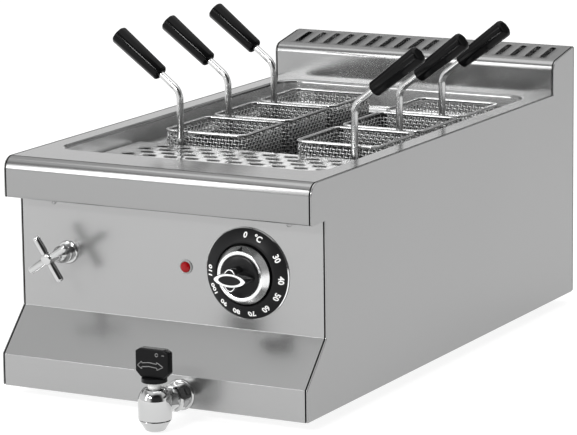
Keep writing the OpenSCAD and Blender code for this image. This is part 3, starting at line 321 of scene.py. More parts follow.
side_steel = sheet_steel("side_steel", 0.315, 0.22, (900.0, 5.0, 900.0), grain=0.012, bump=0.002, metal=0.85)
sheet = 0.0015
nose_y, nose_z, nose_r = 0.014, 0.219, 0.015
panel_y, apron_top, slope_top = 0.047, 0.037, 0.086
panel_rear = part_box("left_side_panel")[1][1] - apron_y
deck_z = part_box("top_deck")[1][2] - base_z
chimney_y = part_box("chimney_cover")[0][1] - apron_y
chimney_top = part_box("left_side_panel")[1][2] - base_z
chimney_edge = chimney_top - (panel_rear - chimney_y) * np.tan(np.radians(11.0))
chimney_r = 0.012
outer_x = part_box("right_side_panel")[1][0]
side_bends = np.array([
    (0, 0, 0.002), (panel_rear, 0, 0.002), (panel_rear, chimney_top, 0.002), (chimney_y, chimney_edge, chimney_r),
    (chimney_y, deck_z, 0.0012), (nose_y, deck_z, nose_r), (nose_y, nose_z, 0.002), (panel_y, nose_z, 0.0012),
    (panel_y, slope_top, 0.004), (0, apron_top, 0.004)])
side_line = rolled(side_bends[:, :2], side_bends[:, 2], 10)
for side, x, line, ways in (("right", outer_x, side_line, (to_rear, upward)),
                            ("left", -outer_x, side_line[::-1, ::-1], (upward, to_rear))):
    fitted(f"{side}_side_sheet", [rolled_plate(line, sheet, 0.0009, (x, apron_y, base_z), *ways)], side_steel,
           "cabinet", "stainless", f"{side}_side_panel", crease=50.0)

# Front panel: apron, slope and control panel are one sheet with tight brake bends, reaching up under the
# nose above and folded back under the base below. The fittings stand in holes that they cover, which this sheet is
# drawn without.


def carried(line, xs):
    """Bent line of (y, z) carried straight along x: point (i, j) is line point i at x number j. It looks to the
    line's left."""
    points = np.empty((len(line), len(xs), 3))
    points[:, :, 0] = xs
    points[:, :, 1:] = (line + np.array([apron_y, base_z]))[:, None]
    return points.reshape(-1, 3), grid_faces(len(line), len(xs))


def backed(parts, thickness):
    """Sheet metal from its outer face: equal points are joined, the inner face lies a thickness behind along the
    mean normal of the faces at each point, and a rim closes every open edge."""
    starts = np.cumsum([0] + [len(p) for p, _ in parts])
    points, place = np.unique(np.round(np.concatenate([p for p, _ in parts]), 7), axis=0, return_inverse=True)
    faces = place.reshape(-1)[np.concatenate([f + s for s, (_, f) in zip(starts, parts)])]
    across = np.cross(points[faces[:, 2]] - points[faces[:, 0]], points[faces[:, 3]] - points[faces[:, 1]])
    mean = np.zeros_like(points)
    np.add.at(mean, faces.reshape(-1), np.repeat(across, 4, 0))
    mean /= np.maximum(np.linalg.norm(mean, axis=1), 1e-15)[:, None]
    a, b = faces.reshape(-1), np.roll(faces, -1, 1).reshape(-1)
    _, first, times = np.unique(
        np.minimum(a, b) * len(points) + np.maximum(a, b), return_index=True, return_counts=True)
    free = first[(times == 1) & (a[first] != b[first])]
    rim = np.stack([b, a, a + len(points), b + len(points)], 1)[free]
    return (np.concatenate([points, points - mean * thickness]),
            np.concatenate([faces, faces[:, ::-1] + len(points), rim]), len(rim))


# Painted shade: every rim face of the folded sheets gets near-black steel, so the seams beside the side panels and
# the steam slots and drain holes read as dark lines. This includes the walls of those slots and holes.
edge_painted_shade = sheet_steel("edge_painted_shade", 0.02, 0.5, (400.0, 400.0, 400.0), grain=0.06)
across_grain = (5.0, 900.0, 900.0)
front_steel = sheet_steel("front_steel", 0.35, 0.25, across_grain, grain=0.008, bump=0.0012, metal=0.85)
sheet_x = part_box("front_panel")[1][0] - 0.0011
front_hem = 0.014
front_line = rolled(
    [(front_hem, 0), (0, 0), (0, apron_top), (panel_y, slope_top), (panel_y, nose_z)], 0.0007, 8, closed=False)
fitted("front_sheet", [backed([carried(front_line, np.linspace(-sheet_x, sheet_x, 9))], sheet)], front_steel,
       "cabinet", "stainless", "front_panel", edge=edge_painted_shade)

# Top deck: one sheet with a rolled nose in front and a well pressed into it with rounded edges, which is
# a piece of its own here. The well's floor carries the drain shelf and, behind, the tank's mouth.


def round_rectangle(w, d, r, steps):
    """Closed rounded rectangle about (0, 0): a quarter arc at each corner, points spread evenly over the arcs."""
    a = np.linspace(0, np.pi / 2, steps) + np.arange(4)[:, None] * np.pi / 2
    x = np.array([1, -1, -1, 1])[:, None] * (w / 2 - r) + r * np.cos(a)
    y = np.array([1, 1, -1, -1])[:, None] * (d / 2 - r) + r * np.sin(a)
    return np.stack([x, y], -1).reshape(-1, 2)


def edge_roll(r, keep=0.001):
    """Rounded edge in steps of (distance out, distance down): a point on the flat, then a quarter arc of radius r
    that ends upright."""
    q = np.linspace(0, np.pi / 2, 7)
    return [(r + keep, 0.0)] + list(zip(r * (1 - np.sin(q)), r * (1 - np.cos(q))))


def well_ring(w, d, mid, r, z):
    """Rounded rectangle of the well at a height, its middle a given way behind the apron."""
    ring = round_rectangle(w, d, r, 12) + np.array([0, mid + apron_y])
    return np.column_stack([ring, np.full(len(ring), z + base_z)])


skin = 0.0014
deck_steel = sheet_steel("deck_steel", 0.28, 0.17, across_grain, grain=0.012, bump=0.002, metal=0.9)
# Painted light: the well is pressed from the deck's own steel, but it wears a much lighter, partly diffuse copy of
# that steel so that its walls and floor read lit.
well_steel_painted_light = sheet_steel("well_steel_painted_light", 0.70, 0.24, across_grain, grain=0.012, bump=0.002, metal=0.75)
deck_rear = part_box("top_deck")[1][1] - apron_y
nose_under, nose_end = 0.061, 0.0315
nose_line = rolled([(nose_under, nose_z), (nose_y, nose_z), (nose_y, deck_z), (nose_end, deck_z)],
                   [0, 0.0025, nose_r, 0], 16, closed=False)
well_w, well_d, well_mid, well_r, floor_z = 0.346, 0.558, 0.366, 0.025, deck_z - 0.032
mouth_w, mouth_d, mouth_mid, mouth_r = 0.320, 0.362, 0.451, 0.020
lip, foot_roll, mouth_roll = 0.0035, 0.006, 0.003
deck_rings = [well_ring(2 * sheet_x, deck_rear - nose_end, (deck_rear + nose_end) / 2, 0.0002, deck_z)] + [
    well_ring(well_w + 2 * g, well_d + 2 * g, well_mid, well_r + g, deck_z - h) for g, h in edge_roll(lip)]
well_rings = deck_rings[-1:] + [
    well_ring(well_w - 2 * g, well_d - 2 * g, well_mid, well_r - g, floor_z + h)
    for g, h in [(0, foot_roll + 0.001)] + edge_roll(foot_roll)[::-1]] + [
    well_ring(mouth_w + 2 * g, mouth_d + 2 * g, mouth_mid, mouth_r + g, floor_z - h)
    for g, h in edge_roll(mouth_roll)]
deck_skin, well_skin = [
    (np.concatenate(rings), grid_faces(len(rings), len(rings[0]), close_cols=True))
    for rings in (deck_rings, well_rings)]
fitted("deck_sheet", [backed([carried(nose_line, np.array([-sheet_x, sheet_x])), deck_skin], skin)], deck_steel,
       "cabinet", "stainless", "top_deck", edge=edge_painted_shade)
fitted("deck_well", [backed([well_skin], skin)], well_steel_painted_light, "cabinet", "stainless", edge=edge_painted_shade)

# Chimney cover: a folded flue sheet with a rounded front bend and a row of round-ended steam slots,
# punched from above so that each slot has a slightly drawn-in edge.


def border(a, b):
    """Points once round a rectangle's edge: along the first list, then the second, and back along both."""
    return np.concatenate([
        np.stack([a[:-1], np.full(len(a) - 1, b[0])], 1), np.stack([np.full(len(b) - 1, a[-1]), b[:-1]], 1),
        np.stack([a[:0:-1], np.full(len(a) - 1, b[-1])], 1), np.stack([np.full(len(b) - 1, a[0]), b[:0:-1]], 1)])


spans_a, spans_b = 8, 4


def slotted(centres, cell, slot, origin, first, second):
    """Flat cells, each with a slot along the first direction: the points round a cell's border are drawn on to a
    ring about the slot and then to its edge, a little below the face, each to the nearest slot point."""
    rim = border(np.linspace(-cell[0] / 2, cell[0] / 2, spans_a + 1),
                 np.linspace(-cell[1] / 2, cell[1] / 2, spans_b + 1))
    straight = (slot[0] - slot[1]) / 2
    core = np.stack([np.clip(rim[:, 0], -straight, straight), 0 * rim[:, 1]], 1)
    away = (rim - core) / np.linalg.norm(rim - core, axis=1)[:, None]
    reach = slot[1] / 2 + np.array([0.0008, 0.0002, 0])
    fall = np.array([0, 0, 0.0001, 0.0004])[:, None, None] * np.cross(first, second)
    rings = np.concatenate([rim[None], core + away * reach[:, None, None]])
    flat = np.asarray(centres)[:, None, None, :] + rings
    points = np.asarray(origin) + flat[..., :1] * first + flat[..., 1:] * second - fall
    one = grid_faces(len(rings), len(rim), close_cols=True)
    faces = one[None] + (np.arange(len(centres)) * len(rings) * len(rim))[:, None, None]
    return points.reshape(-1, 3), faces.reshape(-1, 4)


def ruled(firsts, seconds, origin, first, second):
    """Flat grid over two lists of distances along the first and second directions."""
    b, a = np.meshgrid(seconds, firsts, indexing="ij")
    points = np.asarray(origin) + a[..., None] * first + b[..., None] * second
    return points.reshape(-1, 3), grid_faces(len(seconds), len(firsts))


chimney_steel = sheet_steel("chimney_steel", 0.30, 0.19, across_grain, grain=0.012, bump=0.002, metal=0.9)
slot_pitch, slot_count, slot_size = 0.0207, 18, (0.040, 0.008)
chimney_line = rolled([(chimney_y, deck_z - 0.012), (chimney_y, chimney_edge), (panel_rear, chimney_top)],
                      [0, chimney_r, 0], 12, closed=False)
slope_run = np.linalg.norm(chimney_line[-1] - chimney_line[-2])
slope_way = np.array([0, *(chimney_line[-1] - chimney_line[-2]) / slope_run])
slope_from = np.array([0, *chimney_line[-2]]) + np.array([0, apron_y, base_z])
slot_b = (np.arange(slot_count) - (slot_count - 1) / 2) * slot_pitch
slot_ends = slot_count * slot_pitch / 2
chimney_x = np.concatenate([
    [-sheet_x], np.linspace(-slot_ends, slot_ends, slot_count * spans_b + 1), [sheet_x]])
slope_a = np.linspace(0, slope_run, spans_a + 1)
fitted("chimney_sheet", [backed([
    carried(chimney_line[:-1], chimney_x),
    slotted(np.stack([np.full(slot_count, slope_run / 2), slot_b], 1), (slope_run, slot_pitch), slot_size,
            slope_from, slope_way, -to_right),
    ruled(slope_a, [-sheet_x, -slot_ends], slope_from, slope_way, -to_right),
    ruled(slope_a, [slot_ends, sheet_x], slope_from, slope_way, -to_right)], skin)], chimney_steel,
    "cabinet", "stainless", "chimney_cover", edge=edge_painted_shade)

# Back panel: a flat sheet with a turned edge, held by six domed screws with cross recesses. Two more
# screws sit under the nose and hold the front panel.
even_grain = (300.0, 300.0, 300.0)
back_steel = sheet_steel("back_steel", 0.45, 0.26, (900.0, 900.0, 5.0))
bright_screw = sheet_steel("bright_screw", 0.34, 0.22, even_grain)
back_low, back_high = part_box("back_panel")
back_h = back_high[2] - back_low[2]
back_line = rolled(
    [(0, back_low[0]), (back_h, back_low[0]), (back_h, back_high[0]), (0, back_high[0])], 0.0025, 6)
fitted("back_sheet", [
    rolled_plate(back_line, sheet, 0.0008, (0, back_high[1], back_low[2]), upward, to_right)], back_steel,
    "cabinet", "stainless", "back_panel", crease=50.0)


def screw_head(centre, axis):
    """Domed head: turned from its seat over the crown into a recess, whose rings swell four times a turn into a
    cross."""
    sides, outline = 32, [(0, 0), (3.5, 0), (3.5, 0.3), (3.3, 0.8), (2.8, 1.2), (2.4, 1.4), (1.5, 1.65), (1.3, 1.2),
                          (0, 0.9)]
    points, faces = turned(outline, sides, centre, axis)
    grid = points.reshape(sides, len(outline), 3)
    hub = np.asarray(centre) + ((grid - centre) @ axis)[..., None] * axis
    swell = np.array([0, 0, 0, 0, 0, 0, 0.42, 0.42, 0]) * np.cos(4 * np.arange(sides) * 2 * np.pi / sides)[:, None]
    return (hub + (grid - hub) * (1 + swell[..., None])).reshape(-1, 3), faces


fitted("screw_heads", [
    screw_head((x, apron_y + panel_y, base_z + 0.212), to_front) for x in (-0.154, 0.154)] + [
    screw_head((x, back_high[1], back_low[2] + z), to_rear)
    for x in (-0.188, 0.188) for z in (0.012, 0.160, 0.308)], bright_screw, "cabinet", "bright_steel", "screws")

# Inside the cabinet and at its rear: the welded tank with its perforated rack, the tube heater with its
# flange, pipes, thermostat, switchgear, water inlet and cable gland keep their CAD shapes.
# Painted shade: the tank, its rack, the heater flange, the service bracket and the drain pipe are steel in a
# near-black grey, so the inside of the well reads dark.
tank_steel_painted_shade = sheet_steel("tank_steel_painted_shade", 0.08, 0.30, across_grain)
heater_tube = sheet_steel("heater_tube", 0.20, 0.42, even_grain, grain=0.08, bump=0.02)
rolled_copper = sheet_steel("rolled_copper", 0.72, 0.24, (200.0, 200.0, 200.0), warm=(1.0, 0.56, 0.40))
cast_brass = sheet_steel(
    "cast_brass", 0.66, 0.28, (250.0, 250.0, 250.0), grain=0.06, bump=0.02, warm=(1.0, 0.80, 0.45))
ivory_case = moulded("ivory_case", (0.60, 0.58, 0.52), 0.42, 0.05)
black_case = moulded("black_case", (0.020, 0.020, 0.021), 0.38, 0.05)
wears(tank_steel_painted_shade, "tank", "false_bottom", "heater_flange", "service_bracket", "drain_pipe")
wears(heater_tube, "heating_element")
wears(rolled_copper, "thermostat_bulb", "fill_pipe", "supply_pipe")
wears(cast_brass, "fill_valve", "water_inlet")
wears(ivory_case, "thermostat", "contactor", "terminal_block")
wears(black_case, "cable_gland")

# Dial plate: a black moulding on the control panel with a bright edge and a recess for the knob. Its sloping
# ring carries white printed figures that run clockwise from 0 to 110.


def printed(text, height, centre, right, up):
    """Raised print: a text curve of a given height, thickened a little, is laid as a mesh with its middle on the
    centre and its lines along right and up."""
    letters = bpy.data.curves.new("letters", "FONT")
    letters.body = text
    letters.size = height
    letters.offset = height * 0.03
    letters.extrude = 0.00008
    letters.resolution_u = 3
    letters.align_x = letters.align_y = "CENTER"
    holder = bpy.data.objects.new("letters", letters)
    mesh = bpy.data.meshes.new_from_object(holder)
    flat = np.empty(len(mesh.vertices) * 3)
    mesh.vertices.foreach_get("co", flat)
    flat = flat.reshape(-1, 3)
    faces = [list(p.vertices) for p in mesh.polygons]
    bpy.data.objects.remove(holder)
    bpy.data.meshes.remove(mesh)
    flat[:, :2] -= (flat[:, :2].min(0) + flat[:, :2].max(0)) / 2
    return np.asarray(centre) + flat @ np.array([right, up, np.cross(right, up)]), faces


def face_middle(name, axis, end):
    """Middle of one face of a solid's box: its low (0) or high (1) end along axis 0, 1 or 2."""
    box = np.array(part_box(name))
    at = box.mean(0)
    at[axis] = box[end, axis]
    return at


dial_black = moulded("dial_black", (0.012, 0.012, 0.0125), 0.40, 0.03, shine=0.10)
white_print = moulded("white_print", (0.86, 0.86, 0.85), 0.5, 0.04)
bright_trim = sheet_steel("bright_trim", 0.86, 0.12, even_grain)
dial = face_middle("scale_plate", 1, 1)
fitted("dial_disc", [turned([
    (0, 0.1), (52.9, 0.1), (53, 0.3), (53, 0.8), (52.7, 1.15), (38.9, 8.8), (38.3, 9), (36.3, 9), (36, 8.7),
    (36, 1.6), (35.9, 1.5), (0, 1.5)], 96, dial, to_front)], dial_black,
    "cabinet", "black_plastic", "scale_plate", crease=30.0)
fitted("dial_edge", [turned([(51.9, 1.5), (53, 0.7), (53.06, 0.95), (52, 1.72), (51.9, 1.5)], 96, dial, to_front)],
       bright_trim, "cabinet", "bright_steel")
figure_turns = {"0": 0.5, "°C": 21, "30": 62, "40": 94, "50": 120, "60": 146, "70": 171, "80": 196, "90": 219,
                "100": 244, "110": 271}
figure_h, figure_r, figure_out = 0.0094, 0.0453, 0.0053
slope = np.arctan2(8.0, 14.5)
fitted("dial_figures", [printed(
    text, figure_h, dial + figure_r * np.array([np.sin(t), 0, np.cos(t)]) + figure_out * to_front,
    (np.cos(t), 0, -np.sin(t)), (np.sin(t) * np.cos(slope), np.sin(slope), np.cos(t) * np.cos(slope)))
    for text, t in zip(figure_turns, np.radians(list(figure_turns.values())))], white_print,
    "cabinet", "pale_plastic")

# Thermostat knob: a black moulded skirt, a silver cone ring with a black mark, a domed face, and a lens-
# shaped bar with a shorter boss across it, both edged with bright foil. It turns on the thermostat's spindle.


def oval_loops(levels, turn=0.0):
    """Loops of an oval bar: at each level (half length, half width, point, height) in millimetres x is the half
    length times cos t and y the half width times sin t, thinned towards the tips by a power of sin t. The bar is
    turned about the dial's axis."""
    a, b, point, h = np.asarray(levels, float).T[:, :, None]
    t = np.arange(56) * 2 * np.pi / 56
    x, y = a * np.cos(t), b * np.sin(t) * np.abs(np.sin(t)) ** point
    c, s = np.cos(turn), np.sin(turn)
    return dial + np.stack([x * c - y * s, 0 * x - h, x * s + y * c], -1) / 1000


def foil(loops):
    """Thin closed band over loops, its last loop joined to its first."""
    return loops.reshape(-1, 3), grid_faces(*loops.shape[:2], close_rows=True, close_cols=True)


knob_black = moulded("knob_black", (0.010, 0.010, 0.0105), 0.26, 0.03, shine=0.15)
knob_silver = sheet_steel("knob_silver", 0.82, 0.24, even_grain)
bar_levels = [(20.6, 8.1, 0.3, 19), (20.6, 8.1, 0.3, 41.7), (20.4, 7.9, 0.3, 42.3), (19.9, 7.4, 0.3, 42.7),
              (14, 5.2, 0.1, 42.7), (13.8, 5, 0.1, 42.4)]
boss_levels = [(13, 8.5, 0, 19), (13, 8.5, 0, 41.3), (12.8, 8.3, 0, 41.8), (12.4, 7.9, 0, 42.1)]
skirt = [(0, 2.2), (33.1, 2.2), (33.5, 2.6), (33.5, 10.4), (33.3, 10.7), (25, 10.9), (24.4, 19)]
dome = [(24.4 * np.sin(a), 19.7 + 3 * np.cos(a)) for a in np.linspace(np.pi / 2, 0, 9)]
fitted("knob_moulding", [
    turned(skirt + dome, 96, dial, to_front),
    capped(oval_loops(bar_levels)), capped(oval_loops(boss_levels, np.pi / 2))], knob_black,
    "thermostat_knob", "black_plastic", "knob_grip", crease=30.0)
fitted("knob_cone", [turned([
    (24.55, 10.7), (33.3, 10.7), (33.5, 11), (29, 18.7), (28.6, 19.4), (28.1, 19.7), (25, 19.7), (24.55, 19.4),
    (24.55, 10.7)], 96, dial, to_front)], knob_silver, "thermostat_knob", "bright_steel", "knob_ring")
bar_foil = [(19.9, 7.5, 0.3, 42.6), (19.8, 7.4, 0.3, 42.78), (14.2, 5.4, 0.1, 42.78), (14, 5.2, 0.1, 42.6)]
boss_foil = [(12.9, 8.4, 0, 41.6), (12.6, 8.1, 0, 42.1), (11.7, 7.2, 0, 42.14), (11.6, 7.1, 0, 42)]
ring_foil = [(26.8, 19.65), (28.1, 19.65), (27.9, 19.85), (27, 19.85), (26.8, 19.65)]
fitted("knob_foil", [
    foil(oval_loops(bar_foil)), foil(oval_loops(boss_foil, np.pi / 2)), turned(ring_foil, 96, dial, to_front)],
    bright_trim, "thermostat_knob", "bright_steel")
mark_turn = np.radians([-6.0, 6.0, 0.0])
mark_r, mark_h = np.array([[0.0292, 0.0292, 0.0333], [0.0189, 0.0189, 0.0117]])
mark_loops = dial + np.stack([
    np.stack([mark_r * np.sin(mark_turn), -(mark_h + lift), (mark_r + lift) * np.cos(mark_turn)], 1)
    for lift in (-0.0006, 0.0002)])
fitted("knob_mark", [capped(mark_loops)], knob_black, "thermostat_knob", "black_plastic")
wears(bright_trim, "knob_spindle")

# Pilot lamp: a pale moulded bezel with a rounded rim, pressed into the control panel, and a red lens with
# twelve facets round it that is snapped into the bezel.
bezel_pale = moulded("bezel_pale", (0.34, 0.34, 0.335), 0.30, 0.03)
lamp_red = moulded("lamp_red", (0.26, 0.001, 0.003), 0.14, 0.02, shine=0.15)
plug(lamp_red.node_tree, lamp_red.node_tree.nodes["Principled BSDF"], {"Coat Weight": 0.2, "Coat Roughness": 0.06})
lamp_at = face_middle("lamp_bezel", 1, 0)
lamp_at[1] = dial[1]
fitted("lamp_ring", [turned([
    (0, 0.1), (7.9, 0.1), (8, 0.3), (8, 1.2), (7.7, 1.7), (7.1, 2), (6.6, 1.8), (6.4, 1.2), (0, 1.2)],
    48, lamp_at, to_front)], bezel_pale, "cabinet", "bright_steel", "lamp_bezel")
fitted("lamp_jewel", [turned([(0, 1.3), (6.4, 1.3), (6.4, 1.9), (5.8, 3), (4.1, 4.2), (2.1, 4.8), (0, 5)],
                             12, lamp_at, to_front)], lamp_red, "cabinet", "red_lens", "lamp_lens", crease=8.0)

# Fill tap: a chromed brass wall flange and bell-shaped bonnet, turned, and a spindle whose hub carries
# four round bars with rounded ends. The spindle and bars turn together.
chrome = sheet_steel("chrome", 0.52, 0.05, even_grain, grain=0.01, bump=0.001)
tap = face_middle("fill_flange", 1, 1)
fitted("tap_flange", [turned([
    (0, 0.1), (13.3, 0.1), (13.5, 0.4), (13.5, 1.5), (13.1, 2.3), (12.3, 2.9), (11.3, 3), (0, 3)],
    64, tap, to_front)], chrome, "cabinet", "bright_steel", "fill_flange")
bell = [(10.5 * np.cos(a), 14.5 + 10.5 * np.sin(a)) for a in np.linspace(0, np.arcsin(8.0 / 10.5), 10)]
fitted("tap_bonnet", [turned(
    [(0, 3), (10, 3), (10.5, 3.5), (10.5, 9.8), (10.3, 10.1), (9.6, 10.4), (9.6, 11.4), (10.3, 11.7), (10.5, 12)]
    + bell + [(6.2, 23), (0, 23)], 64, tap, to_front)], chrome, "cabinet", "bright_steel", "fill_bonnet")
fitted("tap_spindle", [turned([
    (0, 22.5), (5, 22.5), (5, 26.2), (4.8, 26.6), (4.3, 26.9), (4.3, 28.2), (4.8, 28.5), (5, 28.9), (5, 36),
    (4.8, 36.5), (0, 36.5)], 48, tap, to_front)], chrome, "fill_handle", "bright_steel", "fill_spindle")
hub = tap + 0.043 * to_front
hub_outline = [(0, -6.5), (6, -6.5), (6.5, -6), (6.5, 4.8), (6.2, 5.5), (5.4, 6.1), (4, 6.4), (0, 6.5)]
bar_outline = [(0, 2), (4, 2), (4, 7), (4.2, 9.5), (4.35, 12), (4.35, 27.2), (4.1, 28.4), (3.4, 29.1), (2, 29.5),
               (0, 29.5)]
bar_turns = np.radians(33.6 + 90 * np.arange(4))
fitted("tap_cross", [turned(hub_outline, 48, hub, to_front)] + [
    turned(bar_outline, 40, hub, (np.cos(t), 0, np.sin(t))) for t in bar_turns], chrome,
    "fill_handle", "bright_steel", "cross_handle")

# Drain tap: a chromed brass angle valve on an arm from the apron, with a flange, a six-sided union, an
# upright domed body and a conical spout below. A pale neck carries the black handle, a moulded fin with
# slanted corners on a round hub, with raised turning marks on its face.


def faceted(rings, sides, spread, centre, along, across):
    """Bar with flats and rounded corners: at each ring (distance along, half width over flats, greatest radius)
    in millimetres its outline is the nearer of flat and circle. A flat faces the across direction."""
    far, flat, most = np.asarray(rings, float).T[:, :, None] / 1000
    angle = np.arange(sides * spread) * 2 * np.pi / (sides * spread)
    off = (angle + np.pi / sides) % (2 * np.pi / sides) - np.pi / sides
    r = np.minimum(flat / np.cos(off), most)
    ring = np.cos(angle)[:, None] * across + np.sin(angle)[:, None] * np.cross(along, across)
    points = np.asarray(centre) + far[..., None] * along + r[..., None] * ring
    return points.reshape(-1, 3), grid_faces(len(far), len(angle), close_cols=True)


def wires(paths, first, second, radius, sides, closed=False):
    """Round wires all at once: along each path, rings spanned by the first and second directions, with a radius
    for each point that closes the wire where it is 0."""
    angle = np.arange(sides) * 2 * np.pi / sides
    ring = np.cos(angle)[:, None] * first[..., None, :] + np.sin(angle)[:, None] * second[..., None, :]
    radius = np.broadcast_to(radius, paths.shape[:2])
    points = paths[:, :, None, :] + radius[:, :, None, None] * ring
    one = grid_faces(paths.shape[1], sides, close_rows=closed, close_cols=True)
    faces = one[None] + (np.arange(len(paths)) * paths.shape[1] * sides)[:, None, None]
    return points.reshape(-1, 3), faces.reshape(-1, 4)


def round_bar(path, radius, sides, normal):
    """Round bar along a path in one plane: rings spanned by the plane's normal and the way across the path."""
    way = np.gradient(path, axis=0)
    way /= np.linalg.norm(way, axis=1)[:, None]
    across = np.cross(normal, way)
    return wires(path[None], across[None], np.broadcast_to(normal, across.shape)[None], radius[None], sides)


def pointed(count, r):
    """Radii of a wire that closes at both ends."""
    radii = np.full(count, r)
    radii[[0, -1]] = 0
    return radii


drain = face_middle("drain_knob", 2, 0) - 0.0283 * upward
body_outline = [(0, -14.1), (18, -14.1), (18.7, -13.8), (19, -13), (19, 5.8)] + [
    (19 * np.cos(a), 6.5 + 19 * np.sin(a)) for a in np.linspace(0, np.arcsin(14.1 / 19.0), 14)] + [
    (12.1, 21), (0, 21.1)]
arm_outline = [(0, 0), (14, 0), (14, 31.6), (13.7, 32.2), (13, 32.5), (13, 34.1), (0, 34.1)]
union_rings = [(34, 0, 0), (34, 12.2, 12.6), (34.4, 13.4, 14), (35.6, 14.25, 16), (52.6, 14.25, 16),
               (53.6, 13.6, 14.4), (53.9, 12.6, 13), (53.9, 0, 0)]
fitted("drain_valve_body", [
    turned(body_outline, 72, drain, upward), turned(arm_outline, 64, drain, to_rear),
    faceted(union_rings, 6, 8, drain, to_rear, upward)], chrome, "cabinet", "bright_steel", "drain_valve")
fitted("drain_wall_flange", [turned([
    (0, 0.1), (17.8, 0.1), (18, 0.4), (18, 1.5), (17.5, 2.4), (16.5, 2.9), (15, 3), (0, 3)],
    64, (drain[0], apron_y, drain[2]), to_front)], chrome, "cabinet", "bright_steel", "drain_flange")
fitted("drain_cone", [turned([
    (6.5, -14.6), (6.5, -26.1), (7, -26.6), (10.9, -26.6), (11.5, -26.1), (18.2, -15.3), (18, -14.7), (6.5, -14.6)],
    72, drain, upward)], chrome, "cabinet", "bright_steel", "drain_spout")
neck_white = moulded("neck_white", (0.80, 0.80, 0.79), 0.32, 0.03)
fitted("drain_collar", [turned([(0, 21.1), (7.3, 21.1), (7.5, 21.4), (7.5, 27.6), (7.3, 28), (0, 28)],
                               48, drain, upward)], neck_white, "cabinet", "pale_plastic", "drain_neck")
handle_black = moulded("handle_black", (0.006, 0.006, 0.0065), 0.22, 0.03, shine=0.09)
fin_line = rolled(
    [(-0.0144, 0), (0.0144, 0), (0.0209, 0.0065), (0.0209, 0.0295), (0.0150, 0.0330), (-0.0150, 0.0330),
     (-0.0209, 0.0295), (-0.0209, 0.0065)], [0.001] * 2 + [0.002] * 6, 5)
fin_at = drain + np.array([0, -0.0055, 0.0333])
handle_hub = [(0, 28.3), (14.1, 28.3), (14.5, 28.7), (14.5, 32.7), (14, 33.2), (0, 33.3)]
fitted("drain_handle_fin", [
    turned(handle_hub, 64, drain, upward),
    rolled_plate(fin_line, 0.011, 0.0013, fin_at, to_right, upward, both=True)], handle_black,
    "drain_handle", "black_plastic", "drain_knob", crease=30.0)
arrow = rolled(
    [(-18.0, 13.2), (-12.2, 9.2), (-12.6, 11.8), (-3.0, 12.9), (7.0, 12.0), (6.6, 9.6), (14.8, 13.6), (6.2, 18.8),
     (6.6, 16.4), (-3.0, 17.4), (-12.6, 16.2), (-12.2, 18.6)], 0.5, 4, keep=0.2) / 1000
dot_turn = np.linspace(0, 2 * np.pi, 25)
dot = np.array([0.0066, 0.0268]) + 0.0017 * np.stack([np.cos(dot_turn), np.sin(dot_turn)], 1)
dash = np.stack([np.linspace(0.0125, 0.0165, 5), np.full(5, 0.0268)], 1)
# Painted highlight: the raised marks are grey instead of the handle's black, standing in for the light caught on
# their ridges.
mark_painted_highlight = moulded("mark_painted_highlight", (0.15, 0.15, 0.15), 0.30, 0.1)
fitted("drain_handle_marks", [
    round_bar(fin_at + np.stack([m[:, 0], 0 * m[:, 0], m[:, 1]], 1), pointed(len(m), 0.0005), 8, to_rear)
    for m in (np.vstack([arrow, arrow[:2]]), dot, dash)], mark_painted_highlight, "drain_handle", "black_plastic", crease=30.0)
wears(bright_trim, "drain_ball", "drain_stem")

# Drain plate: a loose tray cover with staggered rows of round-ended holes. Its edges are folded down on to
# the well's floor, round at the two front corners and square behind.
plate_steel = sheet_steel("plate_steel", 0.72, 0.13, across_grain)
tray_low, tray_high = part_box("drain_plate")
tray_mid = face_middle("drain_plate", 2, 1)
tray_w, tray_d = (tray_high[0] - tray_low[0]) / 2, (tray_high[1] - tray_low[1]) / 2
hole_step, hole_row, hole_size, hole_count, row_count = 0.029, 0.019, (0.0168, 0.0086), 10, 8
odd = np.arange(row_count) % 2
row_y = (np.arange(row_count) - (row_count - 1) / 2) * hole_row
row_x = (np.arange(hole_count) - (hole_count - 1) / 2) * hole_step + ((odd - 0.5) * hole_step / 2)[:, None]
hole_at = np.stack(np.broadcast_arrays(row_x, row_y[:, None]), -1).reshape(-1, 2)
field_x, field_y = (hole_count + 0.5) / 2 * hole_step, row_count / 2 * hole_row
strips = [ruled(np.sort([s * field_x, s * field_x - s * hole_step / 2]),
                np.linspace(y - hole_row / 2, y + hole_row / 2, spans_b + 1), tray_mid, to_right, to_rear)
          for y, s in zip(row_y, 1 - 2 * odd)]
field_edge = border(np.linspace(-field_x, field_x, int((hole_count + 0.5) * spans_a) + 1),
                    np.linspace(-field_y, field_y, row_count * spans_b + 1))


def tray_outline(grow, r_front, r_back):
    """Border of the hole field pushed out to the tray's outline, made smaller by grow: scaled to its rectangle,
    then drawn on to a corner's arc beyond the arc's centre."""
    half = np.array([tray_w - grow, tray_d - grow])
    q = field_edge / np.array([field_x, field_y]) * half
    r = (np.where(q[:, 1] < 0, r_front, r_back) - grow)[:, None]
    core = np.sign(q) * np.minimum(np.abs(q), half - r)
    arm = q - core
    on_arc = arm * r / np.maximum(np.linalg.norm(arm, axis=1), 1e-9)[:, None]
    return core + np.where(np.abs(arm).min(1)[:, None] > 0, on_arc, arm)


